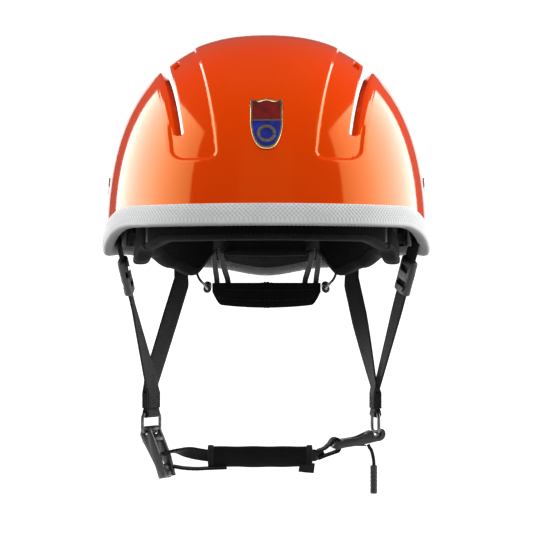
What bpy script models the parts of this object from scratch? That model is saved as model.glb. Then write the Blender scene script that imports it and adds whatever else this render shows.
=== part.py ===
"""Arborist helmet: vented shell, webbing cradle, padded headband, nape cradle and quick-release chin strap.

The wearer faces -Y and +Z is up. The origin is the centre of the head opening, level with the lower edge
of the shell at the ears. Sizes below are in millimetres; point() and the builders turn them into metres.
"""

import math

import bmesh
import bpy
from mathutils import Matrix, Vector

MM = 0.001
GAP = 0.3  # left between pieces that touch
SIDES = ((-1, "left"), (1, "right"))

# Shell: a superellipsoid dome, a little narrower at the brow, cut off along a curved rim.
SHELL_HALF_WIDTH = 112.0
SHELL_HALF_LENGTH = 141.0
SHELL_HEIGHT = 151.0
PLAN_POWER = 2.15
PROFILE_POWER = 2.5
BROW_TAPER = 0.03
SHELL_WALL = 3.2
LINER_WALL = 1.5
LINER_INSET = SHELL_WALL + 2 * GAP
LINER_RISE = 8.4  # the liner's lower edge above the shell's
RIM_ROUND = 64  # divisions round the shell, liner and trim
RIM_STATIONS = ((0, 19.5), (46, 19.0), (94, 0.5), (122, 1.5), (142, -1.0), (162, -8.0), (180, -14.0))

# Vent slot beside each crown band: lateral place at the crown and at its two ends, and its half length.
SLOT_X_CROWN = 71.8
SLOT_X_FRONT = 57.2
SLOT_X_REAR = 61.8
SLOT_HALF_LENGTH = 112.0
SLOT_WIDTH = 5.0
WINDOW_PLACE = (62.4, -50.0)  # small vent windows ahead of the crown
WINDOW_SIZE = (4.5, 16.0)

BADGE_Z = 83.0

# Edge trim: a U section pushed over the rim.
TRIM_OUTER = 2.4
TRIM_INNER = 1.8
TRIM_UP_OUTSIDE = 11.0
TRIM_UP_INSIDE = 7.5
TRIM_BELOW = 2.4

# Rivets
SIDE_RIVET = (88, 46.0)  # plan angle in degrees from the brow, height
REAR_RIVET = (108, 10.0)
RIVET_SHANK = 2.2
RIVET_HOLE = 2.6
SIDE_HEAD = 5.9
REAR_HEAD = 4.2
BRACKET_INSET = LINER_INSET + LINER_WALL + 2 * GAP  # of the plates that the rivets hold inside
BRACKET_WALL = 2.6

# Headband: an egg in plan, widest at the temples, centred behind the brow.
BAND_CENTRE_Y = -20.0
BAND_HALF_WIDTH = 92.0
BAND_FRONT = 92.0
BAND_REAR = 112.0
BAND_POWER = 2.1
BAND_WALL = 1.8
COVER = 1.3  # fabric outside the plastic band
PAD_THICK = 12.0  # from the outside of the cover to the face on the head
BAND_LOW = ((0, 7.5), (45, 7.0), (65, 1.5), (78, -6.5), (87, -8.5), (105, -2.0), (118, -3.0),
            (135, -11.0), (148, -16.5), (159, -1.0), (163, -2.0), (180, -2.5))
BAND_HIGH = ((0, 36.0), (60, 34.0), (100, 30.0), (150, 24.0), (180, 21.0))
BROW_END = 62.0
WING_END = 157.8
REAR_PAD_START = 163.5
BAND_STEP = 4

# Nape cradle: hangs from the rear of the headband and tilts about the tops of its arms.
TILT_Y = 84.0
TILT_Z = 5.0
NAPE_LOW = -41.0
NAPE_HIGH = -21.5
NAPE_HALF_WIDTH = 40.0
NAPE_Y = 94.0
NAPE_CURVE = 0.0085  # how fast the ends come forward, per millimetre
CABLE_RADIUS = 1.0
CABLE_X = 43.5
CABLE_ARC = 31.5
CABLE_ROUTE = ((46, 69.5, -22.5), (49, 70, -19), (50.8, 74.8, -14.5), (50.5, 77.8, -9.5))  # on from the arc
GUIDE_REACH = (-25, 1)  # degrees of the arc that each guide covers
WHEEL_Z = -31.2
WHEEL_RADIUS = 10.4
WHEEL_THICK = 7.0
SPOOL_RADIUS = 3.6

# Webbing
WEB_WIDTH = 15.0
WEB_THICK = 1.4

# Chin straps: where each side hangs, joins, and carries its wire ring.
FRONT_ANCHOR = (102.6, -25.0, 8.0)
JOIN = {-1: (-81.0, 5.0), 1: (76.5, 5.0)}
TAB_TOP_Z = -99.0
RING_TOP_Z = -113.0
RING_HEIGHT = 13.0
RING_WIDTH = 21.5
RING_WIRE = 1.2
FRONT_TURN = {-1: 2, 1: -8}
RING_TURN = {-1: 32, 1: -10}  # degrees from straight back to the way the webbing and rings lie
SLIDER_SIZE = (18.5, 6.6, 25.0)
SLIDER_ALONG = 26.0  # slider centre, measured down the front strap
CHIN_PAD = (-41.0, 32.0)
CHIN_PAD_SIZE = (18.5, 9.0)
CHIN_LEAN = 40  # degrees that the chin strap leans back from upright
BUCKLE_WIDTH = 15.0
BUCKLE_LEAN = 20
HOOK_WIDTH = 15.0
CORD_RADIUS = 1.25
CORD_ROUTE = ((71.4, 5.0, -134.9), (72.3, 4.8, -137.0), (73.6, 4.5, -139.0), (74.6, 4.2, -142.5),
              (75.2, 4.0, -146.0), (75.4, 4.0, -150.0), (75.3, 4.0, -158.0), (75.2, 4.0, -169.0))
TOGGLE = (-149.5, -169.5)
TOGGLE_RADIUS = 2.5

ORANGE = (0.85, 0.16, 0.01)
WHITE = (0.82, 0.82, 0.8)
BLACK = (0.02, 0.02, 0.02)
GREY = (0.09, 0.09, 0.09)
STEEL = (0.7, 0.7, 0.7)
GOLD = (0.75, 0.6, 0.25)


# ---------------------------------------------------------------- small helpers


def point(x, y, z):
    """A place given in millimetres, as a vector in metres."""
    return Vector((x, y, z)) * MM


def between(stations, at):
    """A value read between (place, value) stations, easing in and out of each one."""
    if at <= stations[0][0]:
        return stations[0][1]
    for (low, first), (high, second) in zip(stations, stations[1:]):
        if at <= high:
            share = (at - low) / (high - low)
            share = share * share * (3 - 2 * share)
            return first + (second - first) * share
    return stations[-1][1]


def smooth_path(points, steps):
    """Points of a Catmull-Rom curve through the given ones, steps to each stretch."""
    knots = [Vector(p) for p in points]
    knots = [2 * knots[0] - knots[1], *knots, 2 * knots[-1] - knots[-2]]
    path = []
    for a, b, c, d in zip(knots, knots[1:], knots[2:], knots[3:]):
        for step in range(steps):
            t = step / steps
            path.append(
                0.5
                * (2 * b + (c - a) * t + (2 * a - 5 * b + 4 * c - d) * t**2 + (3 * b - a - 3 * c + d) * t**3)
            )
    return [*path, knots[-2]]


def material(name, colour, roughness, metallic=0.0):
    """One Principled material for each name."""
    found = bpy.data.materials.get(name)
    if found:
        return found
    made = bpy.data.materials.new(name)
    made.use_nodes = True
    shader = made.node_tree.nodes["Principled BSDF"]
    shader.inputs["Base Color"].default_value = (*colour, 1)
    shader.inputs["Roughness"].default_value = roughness
    shader.inputs["Metallic"].default_value = metallic
    made.diffuse_color = (*colour, 1)
    return made


def shell_orange():
    return material("shell_orange", ORANGE, 0.12)


def liner_black():
    return material("liner_black", BLACK, 0.2)


def trim_white():
    return material("trim_white", WHITE, 0.55)


def plastic():
    return material("black_plastic", GREY, 0.4)


def fabric():
    return material("black_fabric", BLACK, 0.9)


def webbing_black():
    return material("black_webbing", GREY, 0.8)


def steel():
    return material("steel", STEEL, 0.25, 1.0)


def scene_collection(name):
    found = bpy.data.collections.get(name)
    if not found:
        found = bpy.data.collections.new(name)
        bpy.context.scene.collection.children.link(found)
    return found


def add(name, mesh, look, cutter=False):
    """An object for the mesh, in the parts' collection or the cutters'."""
    obj = bpy.data.objects.new(name, mesh)
    scene_collection("cutters" if cutter else "arborist_helmet").objects.link(obj)
    if cutter:
        obj.hide_render = True
        obj.display_type = "WIRE"
    elif look:
        mesh.materials.append(look)
        mesh.shade_smooth()
        mesh.set_sharp_from_angle(angle=math.radians(35))
    return obj


def mesh_from(bm, name):
    """The bmesh as a mesh with its faces pointing out."""
    bmesh.ops.recalc_face_normals(bm, faces=bm.faces)
    mesh = bpy.data.meshes.new(name)
    bm.to_mesh(mesh)
    bm.free()
    return mesh


def loft(name, rings, look, closed=False, cutter=False):
    """A solid through rings of points in metres; closed joins the last ring to the first."""
    bm = bmesh.new()
    rows = [[bm.verts.new(p) for p in ring] for ring in rings]
    pairs = list(zip(rows, rows[1:] + rows[:1])) if closed else list(zip(rows, rows[1:]))
    for row, following in pairs:
        for i, vert in enumerate(row):
            j = (i + 1) % len(row)
            bm.faces.new((vert, row[j], following[j], following[i]))
    if not closed:
        bm.faces.new(rows[0][::-1])
        bm.faces.new(rows[-1])
    return add(name, mesh_from(bm, name), look, cutter)


def bevel(obj, width, segments=2, angle=40):
    """Rounds an object's edges; width in millimetres."""
    rounding = obj.modifiers.new("bevel", "BEVEL")
    rounding.width = width * MM
    rounding.segments = segments
    rounding.limit_method = "ANGLE"
    rounding.angle_limit = math.radians(angle)
    return obj


def boolean(obj, other, operation="DIFFERENCE"):
    """Cuts with, or joins on, another object."""
    cut = obj.modifiers.new(operation.lower(), "BOOLEAN")
    cut.operation = operation
    cut.solver = "EXACT"
    cut.object = other
    return obj


def box(name, size, place, look=None, turn=None, cutter=False):
    """A block of that size in millimetres, turned by a matrix and placed."""
    bm = bmesh.new()
    bmesh.ops.create_cube(bm, size=1)
    bmesh.ops.scale(bm, vec=Vector(size) * MM, verts=bm.verts)
    obj = add(name, mesh_from(bm, name), look, cutter)
    obj.matrix_world = Matrix.Translation(point(*place)) @ (turn or Matrix()).to_4x4()
    return obj


def facing(place, direction):
    """A matrix at a place in metres, with local Z along the direction."""
    return Matrix.Translation(place) @ direction.to_track_quat("Z", "Y").to_matrix().to_4x4()


def cylinder(name, radius, depth, place, direction, look=None, cutter=False, sides=20):
    """A round bar along a direction, centred on a place."""
    bm = bmesh.new()
    bmesh.ops.create_cone(
        bm, cap_ends=True, segments=sides, radius1=radius * MM, radius2=radius * MM, depth=depth * MM
    )
    obj = add(name, mesh_from(bm, name), look, cutter)
    obj.matrix_world = facing(point(*place), Vector(direction))
    return obj


def turned(name, profile, look, sides=24):
    """A turned solid about local Z, from a profile of (radius, height) that is closed or ends on the axis."""
    bm = bmesh.new()
    line = [bm.verts.new((r * MM, 0, z * MM)) for r, z in profile]
    edges = [bm.edges.new(pair) for pair in zip(line, line[1:])]
    bmesh.ops.spin(bm, geom=line + edges, axis=(0, 0, 1), angle=2 * math.pi, steps=sides)
    bmesh.ops.remove_doubles(bm, verts=bm.verts, dist=0.000005)
    bmesh.ops.dissolve_degenerate(bm, edges=bm.edges, dist=0.000001)
    return add(name, mesh_from(bm, name), look)


def as_mesh(obj, name=None):
    """The object with its modifiers applied, as one plain mesh object in its place."""
    bpy.context.view_layer.update()
    graph = bpy.context.evaluated_depsgraph_get()
    mesh = bpy.data.meshes.new_from_object(obj.evaluated_get(graph))
    mesh.transform(obj.matrix_world)
    bm = bmesh.new()
    bm.from_mesh(mesh)
    bmesh.ops.remove_doubles(bm, verts=bm.verts, dist=0.000005)
    bm.to_mesh(mesh)
    bm.free()
    name = name or obj.name
    place = obj.users_collection[0]
    bpy.data.objects.remove(obj)
    mesh.name = name
    made = bpy.data.objects.new(name, mesh)
    place.objects.link(made)
    mesh.shade_smooth()
    mesh.set_sharp_from_angle(angle=math.radians(35))
    return made


def flat(name, outlines, depth, look, frame):
    """A flat piece: closed outlines in a frame's XY, extruded both ways along its Z to the given depth."""
    curve = bpy.data.curves.new(name, "CURVE")
    curve.dimensions = "2D"
    curve.fill_mode = "BOTH"
    curve.extrude = depth * MM / 2
    for outline in outlines:
        spline = curve.splines.new("POLY")
        spline.points.add(len(outline) - 1)
        for knot, (x, y) in zip(spline.points, outline):
            knot.co = (x * MM, y * MM, 0, 1)
        spline.use_cyclic_u = True
    obj = bpy.data.objects.new(name, curve)
    scene_collection("arborist_helmet").objects.link(obj)
    obj.matrix_world = frame
    curve.materials.append(look)
    return as_mesh(obj)


def wire(name, points, radius, look, cyclic=False, resolution=2):
    """A round wire or cord through points in metres."""
    curve = bpy.data.curves.new(name, "CURVE")
    curve.dimensions = "3D"
    curve.bevel_depth = radius * MM
    curve.bevel_resolution = resolution
    curve.use_fill_caps = True
    spline = curve.splines.new("POLY")
    spline.points.add(len(points) - 1)
    for knot, place in zip(spline.points, points):
        knot.co = (*place, 1)
    spline.use_cyclic_u = cyclic
    curve.materials.append(look)
    obj = bpy.data.objects.new(name, curve)
    scene_collection("arborist_helmet").objects.link(obj)
    return obj


def arc(centre, radius, start, end, steps):
    """Points of an arc in a plane, angles in degrees."""
    return [
        (
            centre[0] + radius * math.cos(math.radians(start + (end - start) * i / steps)),
            centre[1] + radius * math.sin(math.radians(start + (end - start) * i / steps)),
        )
        for i in range(steps + 1)
    ]


def frame_of(place, x_axis, z_axis):
    """A matrix with its origin at a place, local X and Z along the given directions."""
    z = Vector(z_axis).normalized()
    y = z.cross(Vector(x_axis)).normalized()
    x = y.cross(z)
    rotation = Matrix((x, y, z)).transposed()
    return Matrix.Translation(point(*place)) @ rotation.to_4x4()


# ---------------------------------------------------------------- the shell's surface


def rim_height(turn):
    """Height of the shell's lower edge at a plan angle in degrees, 0 at the brow and 180 at the back."""
    return between(RIM_STATIONS, abs((turn + 180) % 360 - 180))


def shell_place(turn, height):
    """The outer surface at a plan angle and a height, in millimetres."""
    angle = math.radians(turn)
    share = max(0.0, 1 - abs(height / SHELL_HEIGHT) ** PROFILE_POWER) ** (1 / PROFILE_POWER)
    plan = (
        abs(math.sin(angle) / SHELL_HALF_WIDTH) ** PLAN_POWER
        + abs(math.cos(angle) / SHELL_HALF_LENGTH) ** PLAN_POWER
    )
    reach = share / plan ** (1 / PLAN_POWER)
    y = -reach * math.cos(angle)
    return Vector((reach * math.sin(angle) * (1 + BROW_TAPER * y / SHELL_HALF_LENGTH), y, height))


def shell_level(place):
    """The dome's own function: 1 on its surface, less inside."""
    x = place[0] / (1 + BROW_TAPER * place[1] / SHELL_HALF_LENGTH)
    plan = abs(x / SHELL_HALF_WIDTH) ** PLAN_POWER + abs(place[1] / SHELL_HALF_LENGTH) ** PLAN_POWER
    return plan ** (PROFILE_POWER / PLAN_POWER) + abs(place[2] / SHELL_HEIGHT) ** PROFILE_POWER


def shell_normal(place):
    """The direction straight out of the dome at a place on it."""
    step = 0.01
    slope = [
        shell_level(place + step * Vector(axis)) - shell_level(place - step * Vector(axis))
        for axis in ((1, 0, 0), (0, 1, 0), (0, 0, 1))
    ]
    return Vector(slope).normalized()


def shell_inset(turn, height, inset):
    """A place that far inside the outer surface, in millimetres."""
    place = shell_place(turn, height)
    return place - shell_normal(place) * inset


def dome(name, inset, wall, above_rim, rings, look):
    """A dome that follows the shell: a UV sphere's upper half mapped on to it, then given a wall."""
    bm = bmesh.new()
    bmesh.ops.create_uvsphere(bm, u_segments=RIM_ROUND, v_segments=2 * rings, radius=1)
    lower = [v for v in bm.verts if v.co.z < -0.001]
    bmesh.ops.delete(bm, geom=lower, context="VERTS")
    for vert in bm.verts:
        turn = math.degrees(math.atan2(vert.co.x, -vert.co.y))
        rise = math.asin(min(1, vert.co.z)) / (math.pi / 2)
        low = math.asin((rim_height(turn) + above_rim) / SHELL_HEIGHT)
        height = SHELL_HEIGHT * math.sin(low + (math.pi / 2 - low) * rise)
        vert.co = shell_inset(turn, min(height, SHELL_HEIGHT - 1e-6), inset) * MM
    obj = add(name, mesh_from(bm, name), look)
    solid = obj.modifiers.new("wall", "SOLIDIFY")
    solid.thickness = wall * MM
    solid.offset = -1
    solid.use_even_offset = True
    return obj


def height_over(x, y):
    """Height of the dome over a plan position, in millimetres."""
    plan = shell_level((x, y, 0)) ** (1 / PROFILE_POWER)
    return SHELL_HEIGHT * max(0.0, 1 - plan**PROFILE_POWER) ** (1 / PROFILE_POWER)


def slot_cutter(side, label):
    """A curved blade that cuts one long vent slot, running front to back beside the crown."""
    rings = []
    steps = 16
    for i in range(steps + 1):
        y = -SLOT_HALF_LENGTH + 2 * SLOT_HALF_LENGTH * i / steps
        share = (abs(y) / SLOT_HALF_LENGTH) ** 2
        end = SLOT_X_FRONT if y < 0 else SLOT_X_REAR
        x = side * (SLOT_X_CROWN + (end - SLOT_X_CROWN) * share)
        place = Vector((x, y, height_over(x, y)))
        normal = shell_normal(place)
        across = Vector((side, 0, 0)) - normal * normal.dot(Vector((side, 0, 0)))
        across = across.normalized() * SLOT_WIDTH / 2
        deep = normal * 9
        rings.append([(place + a * across + d * deep) * MM for a, d in ((-1, -1), (1, -1), (1, 1), (-1, 1))])
    return loft(f"slot_cutter_{label}", rings, None, cutter=True)


def window_cutter(side, label):
    """A small rectangular vent near the crown, inboard of the slot."""
    x, y = side * WINDOW_PLACE[0], WINDOW_PLACE[1]
    place = Vector((x, y, height_over(x, y)))
    turn = Vector(shell_normal(place)).to_track_quat("Z", "Y").to_matrix()
    return box(f"window_cutter_{label}", (*WINDOW_SIZE, 16), place, turn=turn, cutter=True)


def rivet_axis(station, side):
    """The outer surface point, in millimetres, and outward direction of a rivet."""
    place = shell_place(side * station[0], station[1])
    return place, shell_normal(place)


def rivet_hole(name, station, side):
    """A cutter for the hole that a rivet passes through."""
    place, out = rivet_axis(station, side)
    return cylinder(name, RIVET_HOLE, 40, place, out, cutter=True)


def shell_and_liner():
    """Both domes, with the vents and the rivet holes cut through them."""
    shell = dome("outer_shell", 0, SHELL_WALL, 0, 14, shell_orange())
    liner = dome("inner_liner", LINER_INSET, LINER_WALL, LINER_RISE, 10, liner_black())
    for side, label in SIDES:
        cutters = (
            slot_cutter(side, label),
            window_cutter(side, label),
            rivet_hole(f"side_hole_{label}", SIDE_RIVET, side),
            rivet_hole(f"rear_hole_{label}", REAR_RIVET, side),
        )
        for cutter in cutters:
            boolean(shell, cutter)
            boolean(liner, cutter)


def edge_trim():
    """The U-section trim, lofted round the rim."""
    low = -TRIM_BELOW - GAP
    inner = SHELL_WALL + GAP
    section = [
        (GAP, TRIM_UP_OUTSIDE), (TRIM_OUTER, TRIM_UP_OUTSIDE - 0.6), (TRIM_OUTER + GAP, 0.5),
        (TRIM_OUTER - 0.8, low), (-inner - TRIM_INNER + 0.8, low), (-inner - TRIM_INNER, 0.5),
        (-inner - TRIM_INNER + 0.4, TRIM_UP_INSIDE), (-inner, TRIM_UP_INSIDE), (-inner, -GAP), (GAP, -GAP),
    ]
    rings = []
    for i in range(RIM_ROUND):
        turn = 360 * i / RIM_ROUND
        foot = shell_place(turn, rim_height(turn))
        above = shell_place(turn, rim_height(turn) + 1.0)
        out, up = shell_normal(foot), (above - foot).normalized()
        rings.append([(foot + out * u + up * v) * MM for u, v in section])
    trim = loft("edge_trim", rings, trim_white(), closed=True)
    for _, label in SIDES:
        boolean(trim, bpy.data.objects[f"rear_hole_{label}"])
    return trim


def rivet(name, station, side, head, proud, grip):
    """A domed rivet whose head stands proud of the surface by a gap; grip is its length inside."""
    place, out = rivet_axis(station, side)
    base = proud + GAP
    profile = [
        (0, base + 2.4), (head * 0.5, base + 2.4), (head * 0.85, base + 1.4), (head, base + 0.4),
        (head, base), (RIVET_SHANK, base), (RIVET_SHANK, -grip), (0, -grip),
    ]
    obj = turned(name, profile, steel())
    obj.matrix_world = facing(place * MM, out)
    return obj


def washer(name, station, side, depth):
    """The flat washer that a rivet is closed on, inside the helmet."""
    place, out = rivet_axis(station, side)
    profile = [(RIVET_HOLE, 0.5), (5.2, 0.5), (5.2, -0.5), (RIVET_HOLE, -0.5), (RIVET_HOLE, 0.5)]
    obj = turned(name, profile, steel(), sides=16)
    obj.matrix_world = facing((place - out * depth) * MM, out)
    return obj


def rivets():
    """The four rivets and their washers."""
    inside = BRACKET_INSET + BRACKET_WALL
    rear_inside = SHELL_WALL + TRIM_INNER + 2 * GAP + BRACKET_WALL
    for side, label in SIDES:
        rivet(f"side_rivet_{label}", SIDE_RIVET, side, SIDE_HEAD, 0, inside + 1.6)
        washer(f"side_washer_{label}", SIDE_RIVET, side, inside + 0.9)
        rivet(f"rear_rivet_{label}", REAR_RIVET, side, REAR_HEAD, TRIM_OUTER, rear_inside + 1.8)
        washer(f"rear_washer_{label}", REAR_RIVET, side, rear_inside + 1.1)


# ---------------------------------------------------------------- headband


def band_place(turn, outward, height):
    """A place by the headband: plan angle in degrees from the brow, distance outside its cover, height."""
    angle = math.radians(turn)
    length = BAND_FRONT if math.cos(angle) > 0 else BAND_REAR
    reach = 1 / (
        abs(math.sin(angle) / (BAND_HALF_WIDTH + outward)) ** BAND_POWER
        + abs(math.cos(angle) / (length + outward)) ** BAND_POWER
    ) ** (1 / BAND_POWER)
    return Vector((reach * math.sin(angle), BAND_CENTRE_Y - reach * math.cos(angle), height))


def band_low(turn):
    return between(BAND_LOW, abs((turn + 180) % 360 - 180))


def band_high(turn):
    return between(BAND_HIGH, abs((turn + 180) % 360 - 180))


def band_turns(start, end):
    """Plan angles along the band: both ends, and each multiple of the step between them."""
    inner = [turn for turn in range(-360, 720, BAND_STEP) if start + 0.1 < turn < end - 0.1]
    return [start, *inner, end]


def headband():
    """The plastic band inside the covers, a closed ring of varying height."""
    outer = -COVER - GAP
    inner = outer - BAND_WALL
    rings = []
    for turn in range(0, 360, BAND_STEP):
        low, high = band_low(turn) + 4.6, band_high(turn)
        section = ((outer, low), (outer, high), (inner, high), (inner, low))
        rings.append([band_place(turn, o, z) * MM for o, z in section])
    return loft("headband", rings, plastic(), closed=True)


def pad(name, start, end, top_drop=3.0):
    """A foam pad in a fabric cover that folds under the plastic band: a U section along the band."""
    slot_out = -COVER
    slot_in = -COVER - BAND_WALL - 2 * GAP
    rings = []
    for turn in band_turns(start, end):
        low, high = band_low(turn), band_high(turn) - top_drop
        floor = low + 3.2
        cover_top = min(floor + 14, high)
        section = [
            (0, low + 1.5), (0, cover_top), (slot_out, cover_top), (slot_out, floor), (slot_in, floor),
            (slot_in, high), (-PAD_THICK + 2, high), (-PAD_THICK, high - 4), (-PAD_THICK, low + 4),
            (-PAD_THICK + 2.5, low), (-2, low),
        ]
        rings.append([band_place(turn, o, z) * MM for o, z in section])
    return loft(name, rings, fabric())


def crown_strap(name, route, side_axis):
    """A webbing strap of the cradle, flat over the crown."""
    path = smooth_path([point(*p) for p in route], 5)
    return webbing(name, path, [Vector(side_axis)] * len(path))


def webbing(name, path, sides, width=WEB_WIDTH, thick=WEB_THICK):
    """Flat webbing along a path in metres, with its width along the side direction at each point."""
    rings = []
    for i, place in enumerate(path):
        along = (path[min(i + 1, len(path) - 1)] - path[max(i - 1, 0)]).normalized()
        across = (sides[i] - along * along.dot(sides[i])).normalized()
        face = along.cross(across)
        w, t = across * width * MM / 2, face * thick * MM / 2
        rings.append([place + w + t, place - w + t, place - w - t, place + w - t])
    return loft(name, rings, webbing_black())


def cradle():
    """Two crossing webbing straps hung from the headband, with a sewn patch where they cross."""
    side_route = [(-86.2, -8, 30), (-80, -8, 55), (-62, -8, 78), (-32, -8, 95), (0, -8, 100),
                  (32, -8, 95), (62, -8, 78), (80, -8, 55), (86.2, -8, 30)]
    long_route = [(0, -105, 38.5), (0, -98, 60), (0, -74, 84), (0, -42, 97.5), (0, -8, 102.0),
                  (0, 28, 96.5), (0, 60, 78), (0, 80, 52), (0, 87, 23.5)]
    crown_strap("crown_strap_side", side_route, (0, 1, 0))
    crown_strap("crown_strap_long", long_route, (1, 0, 0))
    patch = box("crown_patch", (17, 17, 1.2), (0, -8, 103.8), webbing_black())
    return bevel(patch, 0.4)


def bracket(name, side, station, low, high, spread, post, hole):
    """A plate riveted inside the shell, with a post reaching in to the headband.

    spread gives the plate's half extent in degrees at its low and its high edge.
    """
    bm = bmesh.new()
    bmesh.ops.create_grid(bm, x_segments=6, y_segments=6, size=1)
    for vert in bm.verts:
        share = 0.5 + 0.5 * vert.co.y
        turn = station + vert.co.x * (spread[0] + (spread[1] - spread[0]) * share)
        vert.co = shell_inset(side * turn, low + (high - low) * share, BRACKET_INSET) * MM
    plate = add(f"{name}_plate", mesh_from(bm, name), plastic())
    if plate.data.polygons[0].normal.dot(Vector((side, 0, 0))) < 0:
        plate.data.flip_normals()
    solid = plate.modifiers.new("wall", "SOLIDIFY")
    solid.thickness = BRACKET_WALL * MM
    solid.offset = -1
    plate = as_mesh(plate)
    boolean(plate, post, "UNION")
    boolean(plate, bpy.data.objects[hole])
    made = as_mesh(plate, name)
    bpy.data.objects.remove(post)
    return made


def side_bracket(side, label):
    """The riveted plate that carries the headband and the front chin strap on one side."""
    post = box(f"side_post_{label}", (13.8, 12, 7), (side * 97.7, -6, 24), plastic())
    hole = f"side_hole_{label}"
    return bracket(f"side_bracket_{label}", side, SIDE_RIVET[0], 13.2, 54, (16, 6), post, hole)


def rear_bracket(side, label):
    """The smaller plate at a rear rivet."""
    post = box(f"rear_post_{label}", (21.2, 6, 7), (side * 90, 45.5, 10.5), plastic())
    hole = f"rear_hole_{label}"
    return bracket(f"rear_bracket_{label}", side, REAR_RIVET[0] + 2.5, 4.5, 17, (5, 5), post, hole)


def strap_anchor(side, label):
    """The slotted tab behind each wing that the rear chin strap loops through."""
    name = f"rear_strap_anchor_{label}"
    place = band_place(side * 145, 2.0, -2.0)
    along = band_place(side * 146, 2.0, -2.0) - band_place(side * 144, 2.0, -2.0)
    out = Vector((along.y, -along.x, 0)).normalized()
    outline = [(-9, -5), (9, -5), (9, 5), (-9, 5)]
    slot = [(-7, -3.2), (7, -3.2), (7, -0.6), (-7, -0.6)]
    return flat(name, [outline, slot], 2.4, plastic(), frame_of(place, along, out))


def suspension():
    """Headband, pads, cradle and the brackets that join them to the shell."""
    headband()
    pad("brow_pad", -BROW_END, BROW_END)
    pad("wing_pad_right", BROW_END + 0.6, WING_END)
    pad("wing_pad_left", -WING_END, -BROW_END - 0.6)
    pad("rear_pad", REAR_PAD_START, 360 - REAR_PAD_START)
    cradle()
    for side, label in SIDES:
        side_bracket(side, label)
        rear_bracket(side, label)
        strap_anchor(side, label)


# ---------------------------------------------------------------- nape cradle


def nape_y(x, behind):
    """How far back the nape cradle lies at a lateral place, behind the face on the neck."""
    return NAPE_Y - NAPE_CURVE * x * x + behind


def nape_layer(name, near, far, low, high, half_width, look, corner=6.0):
    """A curved plate of the nape cradle, between two distances behind the neck face."""
    rings = []
    steps = 12
    for i in range(steps + 1):
        x = -half_width + 2 * half_width * i / steps
        inner_end = max(0.0, abs(x) - (half_width - corner)) / corner
        bottom = low + (high - low) * 0.45 * inner_end**1.5 + 3.0 * (abs(x) / half_width) ** 2
        rings.append(
            [point(x, nape_y(x, d), z) for d, z in ((near, bottom), (near, high), (far, high), (far, bottom))]
        )
    return loft(name, rings, look)


def nape_cradle():
    """Pad, front plate, housing, cable guides and adjuster, all hung on four arms."""
    nape_layer("nape_pad", 0, 6.0, NAPE_LOW, NAPE_HIGH, NAPE_HALF_WIDTH, fabric())
    half_width = NAPE_HALF_WIDTH - 0.1
    plate = nape_layer("nape_plate", 6.3, 8.1, NAPE_LOW + 1, NAPE_HIGH - 0.5, half_width, plastic())
    housing = nape_layer("nape_housing", 8.5, 15.5, NAPE_LOW + 1.5, NAPE_HIGH - 1, 26, plastic(), corner=9)
    centre = nape_y(0, 0)
    bore = cylinder("spool_bore", 6.4, 5.7, (0, centre + 10.45, WHEEL_Z), (0, 1, 0), cutter=True)
    shaft_hole = cylinder("shaft_hole", 3.2, 12, (0, centre + 14, WHEEL_Z), (0, 1, 0), cutter=True)
    boolean(housing, bore)
    boolean(housing, shaft_hole)
    for side, label in SIDES:
        place = (side * 19, nape_y(19, 8), WHEEL_Z + 1)
        screw_hole = cylinder(f"screw_hole_{label}", 1.5, 30, place, (0, 1, 0), cutter=True)
        boolean(housing, screw_hole)
        boolean(plate, screw_hole)
        profile = [(0, 1.0), (1.8, 0.9), (2.6, 0.2), (2.6, -0.3), (1.1, -0.3), (1.1, -8.0), (0, -8.0)]
        screw = turned(f"nape_screw_{label}", profile, steel(), sides=16)
        place = point(side * 19, nape_y(19, 17.0), WHEEL_Z + 1)
        screw.matrix_world = Matrix.Translation(place) @ Matrix.Rotation(-math.pi / 2, 4, "X")
    adjuster(centre)
    nape_arms()
    for side, label in SIDES:
        cable(side, label)
        cable_guide(side, label)


def adjuster(centre):
    """The knurled wheel, its spool and the spring that clicks against the wheel."""
    lobes = 24
    outline = []
    for i in range(lobes * 2):
        radius = WHEEL_RADIUS - (0.0 if i % 2 else 0.7)
        angle = math.pi * i / lobes
        outline.append((radius * math.cos(angle), radius * math.sin(angle)))
    back = centre + 16.6
    wheel = flat(
        "adjuster_wheel", [outline], WHEEL_THICK, plastic(),
        frame_of((0, back + WHEEL_THICK / 2, WHEEL_Z), (1, 0, 0), (0, 1, 0)),
    )
    bevel(wheel, 0.8, 1, angle=60)
    boolean(wheel, cylinder("wheel_bore", 2.9, 6, (0, back, WHEEL_Z), (0, 1, 0), cutter=True))
    profile = [
        (0, 8.6), (2.6, 8.6), (2.6, 2.2), (6, 2.2), (6, 1.4), (SPOOL_RADIUS, 1.4), (SPOOL_RADIUS, -1.4),
        (6, -1.4), (6, -2.2), (0, -2.2),
    ]
    axle = Matrix.Translation(point(0, centre + 10.7, WHEEL_Z)) @ Matrix.Rotation(-math.pi / 2, 4, "X")
    turned("cable_spool", profile, plastic()).matrix_world = axle
    inner, outer = SPOOL_RADIUS + GAP, SPOOL_RADIUS + 1.8
    coil = [(inner, 1.1), (outer, 1.1), (outer, -1.1), (inner, -1.1), (inner, 1.1)]
    turned("wound_cable", coil, steel()).matrix_world = axle
    box("click_spring", (9, 0.5, 2.4), (0, centre + 16.05, WHEEL_Z + 7.3), steel())


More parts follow.
